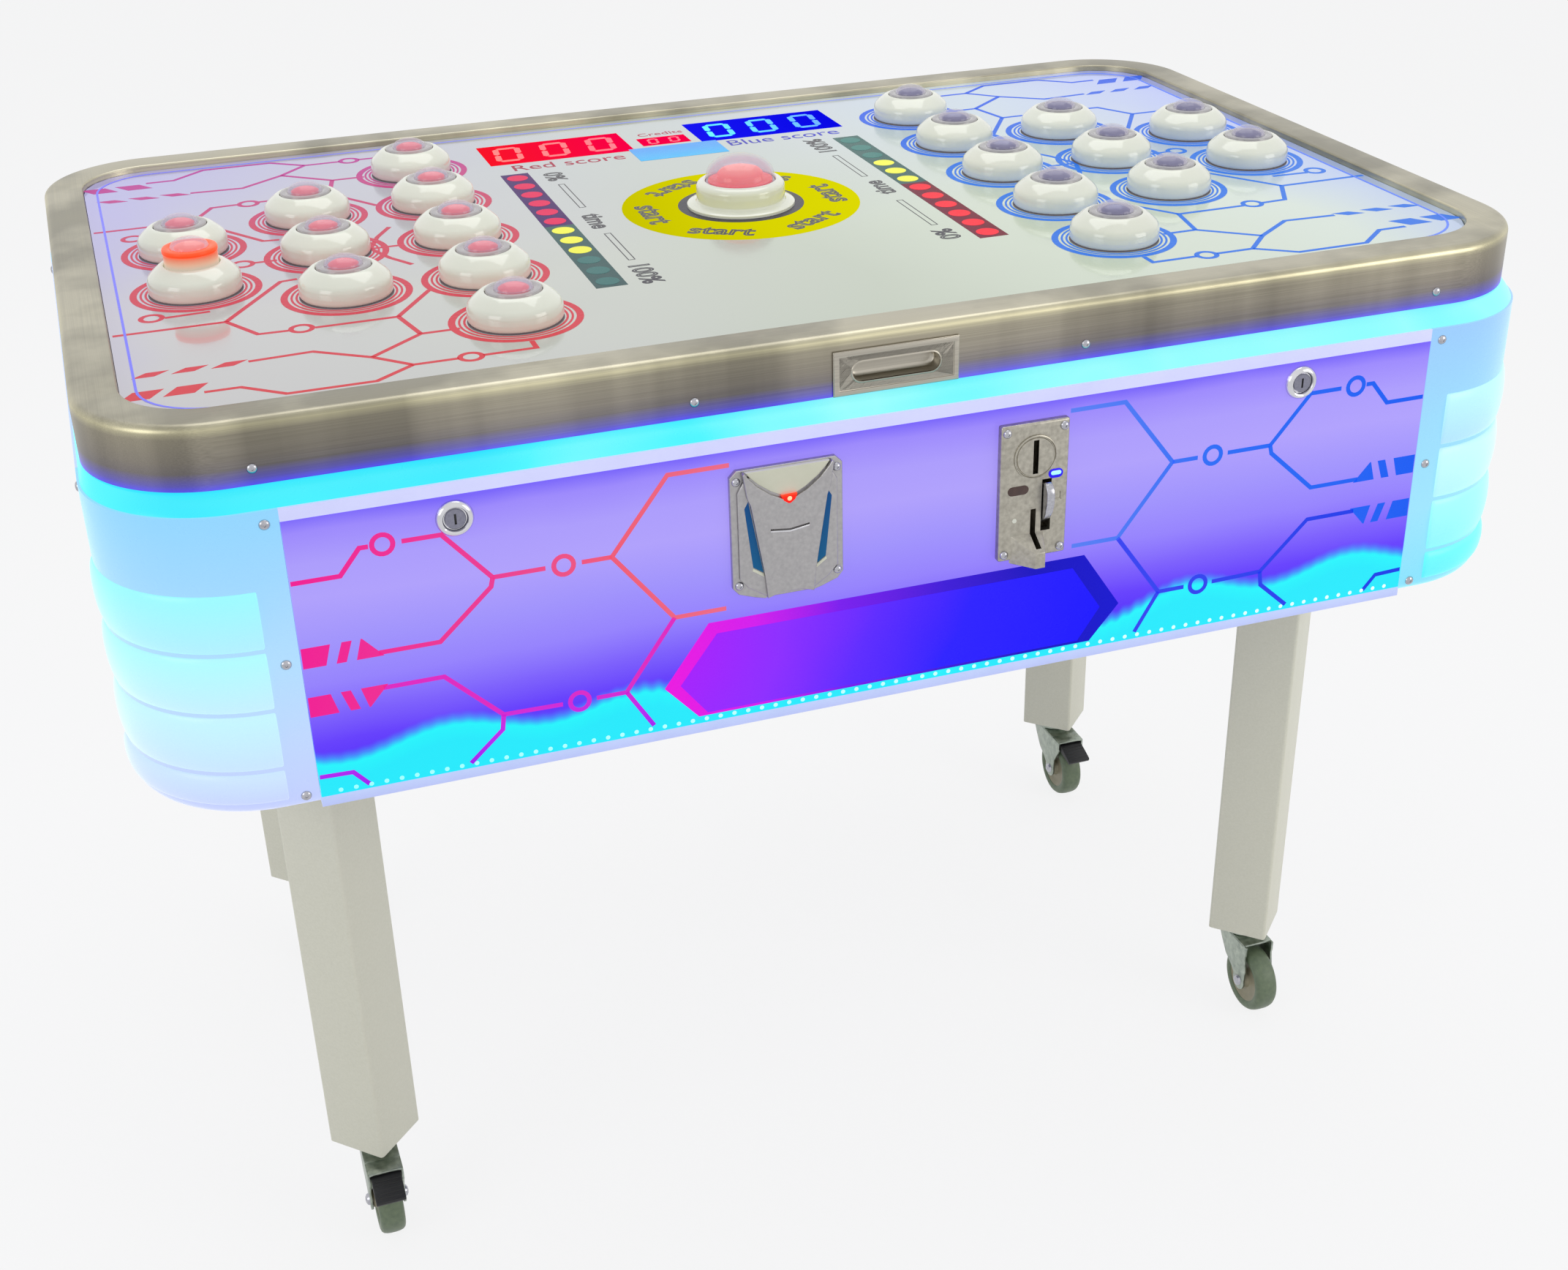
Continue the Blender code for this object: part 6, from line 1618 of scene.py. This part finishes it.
def shield(points, low, high, bevel):
    """An outline given as (across, below the top) in millimetres, standing on the panel."""
    placed = [(READER_X + x / 1000, reader_top - z / 1000) for x, z in points]
    return outline(placed, PANEL_SEAT - high, PANEL_SEAT - low, "Y", bevel)


def both_sides(points):
    """The right half of a shape, from the top down, completed by its mirror image."""
    return points + [(-x, z) for x, z in reversed(points)]


base = shield(both_sides([(43, 0), (49, 6), (49, 106), (44, 112), (30, 117), (21, 119.5), (9, 115.5)]), 0, 0.0055,
              0.0012)
wings = shield(both_sides([(36, 6), (43.5, 19), (43.5, 97), (36, 106), (24, 114), (17, 117)]), 0.005, 0.0085, 0.0018)
middle = shield(both_sides([(6.0, 27.5), (16.0, 22.5), (27.0, 14.0), (35.0, 5.0), (38.0, 0.6), (39.5, 2.0),
                            (36.5, 22), (33.5, 30), (22.5, 96), (20.5, 116.5), (9, 113)]), 0.006, 0.012, 0.0010)
slot = shield([(-17, 53.0), (0, 55.0), (17, 52.6), (17, 54.2), (0, 56.6), (-17, 54.6)], 0.0095, 0.02, 0)
casing = box((READER_X - 0.0425, PANEL_SEAT - 0.001, reader_bottom + 0.0065),
             (READER_X + 0.0425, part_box("card_reader")[1].y - MIDDLE.y, reader_top - 0.0065), 0.001, 2)
SATIN = grained("satin_reader_shell", (158, 156, 158), (186, 184, 184), (0.30, 0.40), scale=300,
                contrast=1.2, Metallic=0.85)
piece("card_reader_shell", [base, wings, cut_away(middle, slot), casing], SATIN, "service_panel",
      ["card_reader"], sharp=30)
hollow = shield([(-36.5, 1.2), (36.5, 1.2), (33.0, 5.6), (26.0, 12.6), (15.0, 20.6), (5.5, 25.5), (-5.5, 25.5),
                 (-15.0, 20.6), (-26.0, 12.6), (-33.0, 5.6)], 0.005, 0.0095, 0.0005)
READER_CREAM = grained("cream_reader_top", (226, 226, 200), (240, 240, 218), (0.2, 0.3), scale=60)
fitting("card_reader_hollow", [hollow], READER_CREAM)
slot_lip = shield([(-17, 54.6), (0, 56.6), (17, 54.2), (17, 55.6), (0, 58.2), (-17, 56.0)], 0.0105, 0.0124, 0.0003)
fitting("card_reader_slot_lip", [slot_lip], CHROME)
RED_LED = lit("red_reader_lamp", [(0.0, (255, 20, 10)), (0.45, (255, 40, 20)), (1.0, (255, 120, 70))],
              start=reader_top - 0.032, end=reader_top - 0.022, glow=0.95)
WARM_LED = lit("warm_reader_lamp", ((255, 200, 150), (255, 240, 200)), start=reader_top - 0.032,
               end=reader_top - 0.022, glow=0.95)
lamp_shape = shield([(-7.0, 25.0), (7.0, 24.6), (5.0, 29.5), (0.8, 32.5), (-0.8, 32.5), (-5.0, 29.5)], 0.009, 0.0125,
                    0.0008)
fitting("card_reader_lamp", [lamp_shape], RED_LED)
fitting("card_reader_lamp_core", [turned([(0, 0.0006), (0.0014, 0.0004), (0.0020, 0), (0, 0)],
                                         (READER_X, PANEL_SEAT - 0.0125, reader_top - 0.0280), "Y", 20)], WARM_LED)
INLAY = lit("deep_blue_inlay", ((16, 104, 150), (24, 76, 148)), start=reader_bottom, end=reader_top, glow=0.3, own=0.7)
ends, strips = [], []
for side in (-1, 1):
    strips.append(shield([(side * x, z) for x, z in ((38.0, 33), (34.6, 27), (23.2, 93), (32.0, 87))], 0.008, 0.0091,
                         0.0003))
    ends.append(shield([(side * x, z) for x, z in ((32.2, 87.6), (23.2, 93.6), (22.9, 97.0), (32.8, 90.0))], 0.008,
                       0.0095, 0.0003))
fitting("card_reader_inlays", strips, INLAY)
# The pale strips under the inlays' lower ends are a painted highlight on the bevel there.
fitting("card_reader_inlay_highlights", ends, READER_CREAM)
piece("card_reader_screws", [screw(0.0038, 0.0026, (READER_X + x, PANEL_SEAT - 0.0055, reader_top - z), "-Y")
                             for x in (-0.0435, 0.0435) for z in (0.0095, 0.1035)], SCREW_STEEL, "service_panel")
print("front fittings done")

# %% [markdown]
# ## Casters
# A caster has a zinc fork that swivels on a ball race under the leg, a wheel with a soft green tread on a tan core,
# and a bolt. Two of the four have a foot brake: a black ribbed pedal in a square frame at the front of the fork.

# %% Wheel and fork
BOLT_HEAD = [(0, 0.0040), (0.0030, 0.0036), (0.0052, 0.0024), (0.0062, 0.0006), (0.0064, 0), (0, 0)]
AXLE_Z = 0.0375
TRAIL = 0.028
CHEEK = 0.0025
CHEEK_X = 0.01645
RIB_PITCH = 0.0042
tread_side = [(0.0262, 0.0112), (0.0285, 0.0124), (0.0318, 0.0126), (0.0345, 0.0116), (0.0362, 0.0096),
              (0.0371, 0.0066), (0.0375, 0.0030)]
tread = tread_side + [(r, -w) for r, w in reversed(tread_side)]
core_side = [(0.0045, 0.0146), (0.0088, 0.0146), (0.0096, 0.0130), (0.0108, 0.0092), (0.0150, 0.0080),
             (0.0215, 0.0084), (0.0238, 0.0100), (0.0262, 0.0108)]
wheel_core = core_side + [(r, -w) for r, w in reversed(core_side)]
HEAD = 0.011


def fork_parts(x, y, head_top, axle, braked):
    """Ball race, stem, crown and two cheeks; a braked fork is longer, with a bridge for the pedal."""
    head_bottom = head_top - HEAD
    reach = 0.052 if braked else 0.038
    race = turned([(0, 0), (0.0190, 0), (0.0206, -0.0008), (0.0210, -0.0024), (0.0196, -0.0042), (0.0190, -0.0054),
                   (0.0204, -0.0066), (0.0208, -0.0088), (0.0196, -0.0106), (0.0160, -0.0112), (0, -0.0112)],
                  (x, y, head_top), steps=40)
    stem = turned([(0, 0.0225), (0.0052, 0.0225), (0.0060, 0.0217), (0.0060, -0.001), (0, -0.001)], (x, y, head_top),
                  steps=24)
    crown = box((x - CHEEK_X - CHEEK / 2, y - 0.034, head_bottom - 0.0028),
                (x + CHEEK_X + CHEEK / 2, y + 0.020, head_bottom), 0.0010, 2)
    leaf = [(y + a, head_bottom - b) for a, b in ((0.0200, 0.0006), (0.0196, 0.0070), (0.0130, 0.0180),
                                                  (0.0020, 0.0330), (-0.0110, 0.0410))]
    leaf += circle_points(axle, 0.0110, 14, 20, -200)
    leaf += [(y - a, head_bottom - b) for a, b in ((0.0400, 0.0330), (reach - 0.0010, 0.0150), (reach, 0.0110),
                                                   (reach, 0.0006))]
    cheeks = [outline(leaf, x + side * CHEEK_X - CHEEK / 2, x + side * CHEEK_X + CHEEK / 2, "X", 0.0005)
              for side in (-1, 1)]
    if braked:
        bridge = box((x - CHEEK_X, y - reach - 0.0002, head_bottom - 0.0026), (x + CHEEK_X, y - 0.033, head_bottom),
                     0.0008, 2)
        return [race, stem, crown, *cheeks, bridge]
    return [race, stem, crown, *cheeks]


# %% Brake pedal
def pedal_parts(x, pin):
    """A ribbed foot pedal on a cross pin, given by the pin's place from front to rear and its height."""
    half = CHEEK_X - CHEEK / 2 - 0.0005
    shape = [(pin[0] + a, pin[1] + b) for a, b in (
        (0.0048, 0.0030), (0.0030, 0.0042), (-0.0040, 0.0044), (-0.0200, -0.0010), (-0.0335, -0.0062),
        (-0.0340, -0.0085), (-0.0325, -0.0108), (-0.0030, -0.0045), (0.0048, -0.0038))]
    slope = math.atan2(0.0052, 0.0135)
    ribs = []
    for i in range(5):
        along = pin[0] - 0.0120 - RIB_PITCH * i
        level = pin[1] + 0.0018 - RIB_PITCH * i * math.tan(slope) - 0.0012
        ribs.append(box((x - half + 0.001, along - 0.0008, level), (x + half - 0.001, along + 0.0008,
                                                                    level + 0.0016), 0.0003, 1))
    cross = turned([(0, CHEEK_X + 0.001), (0.0029, CHEEK_X + 0.001), (0.0029, -CHEEK_X - 0.001),
                    (0, -CHEEK_X - 0.001)], (x, *pin), "X", 20)
    return [outline(shape, x - half, x + half, "X", 0.0008), cross, *ribs]


# %% Four casters
for corner, x_side, y_side in CORNERS:
    fork, wheel = f"{corner}_caster_fork", f"{corner}_caster_wheel"
    braked = corner in ("front_left", "rear_right")
    x, y = x_side * LEG_PLACE[0], y_side * LEG_PLACE[1]
    head_top = leg_low.z - GAP
    axle = (y - TRAIL, AXLE_Z)
    piece(f"{corner}_zinc_fork", fork_parts(x, y, head_top, axle, braked), ZINC, fork, [fork], sharp=30)
    bolt = [turned(BOLT_HEAD, (x + CHEEK_X + CHEEK / 2, *axle), "X", 6 if x_side > 0 else 24),
            (turned(BOLT_HEAD, steps=24), at(x - CHEEK_X - CHEEK / 2, *axle) @ turn(-90, "Y")),
            turned([(0, CHEEK_X), (0.0038, CHEEK_X), (0.0038, -CHEEK_X), (0, -CHEEK_X)], (x, *axle), "X", 20)]
    piece(f"{corner}_axle_bolt", bolt, SCREW_STEEL, fork, sharp=30)
    piece(f"{corner}_wheel_tread", [turned(tread, (x, *axle), "X", 64, closed=True)], GREEN, wheel,
          [wheel])
    piece(f"{corner}_wheel_core", [turned(wheel_core, (x, *axle), "X", 56, closed=True)], CORE, wheel)
    if braked:
        pedal = f"{corner}_caster_brake_pedal"
        piece(f"{corner}_ribbed_pedal", pedal_parts(x, (y - 0.045, head_top - HEAD - 0.008)), BLACK, pedal,
              [pedal], sharp=30)
print("casters done")

# %% [markdown]
# ## Mains inlet
# At the rear is the usual three-pin inlet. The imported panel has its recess; a black insert with a hollow and three
# flat pins fills it.

# %% Mains inlet
INLET_X, INLET_Z = -0.380, PANEL_LOW + 0.060
REAR_FACE = -PANEL_FRONT
insert = box((INLET_X - 0.0236, REAR_FACE - 0.0225, INLET_Z - 0.0136), (INLET_X + 0.0236, REAR_FACE + 0.0008,
                                                                        INLET_Z + 0.0136), 0.0008, 2)
mouth = [(INLET_X + x, INLET_Z + z) for x, z in ((-0.0120, -0.0080), (0.0120, -0.0080), (0.0120, 0.0035),
                                                 (0.0075, 0.0080), (-0.0075, 0.0080), (-0.0120, 0.0035))]
insert = cut_away(insert, outline(mouth, REAR_FACE - 0.0180, REAR_FACE + 0.01, "Y"))
piece("mains_inlet_insert", [insert], BLACK, "cabinet", sharp=30)
pins = [box((INLET_X + x - 0.0010, REAR_FACE - 0.0185, INLET_Z + z - 0.0020),
            (INLET_X + x + 0.0010, REAR_FACE - 0.0030, INLET_Z + z + 0.0020), 0.0003, 1)
        for x, z in ((-0.0070, -0.0020), (0.0, 0.0025), (0.0070, -0.0020))]
piece("mains_inlet_pins", pins, SCREW_STEEL, "cabinet")
print("inlet pins:", len(pins))

# %% [markdown]
# ## Size
# The looks must not change the table's size; the imported box is written again here.

# %% The imported size
print("packed box", [round(v, 4) for corner in cad_box for v in corner])
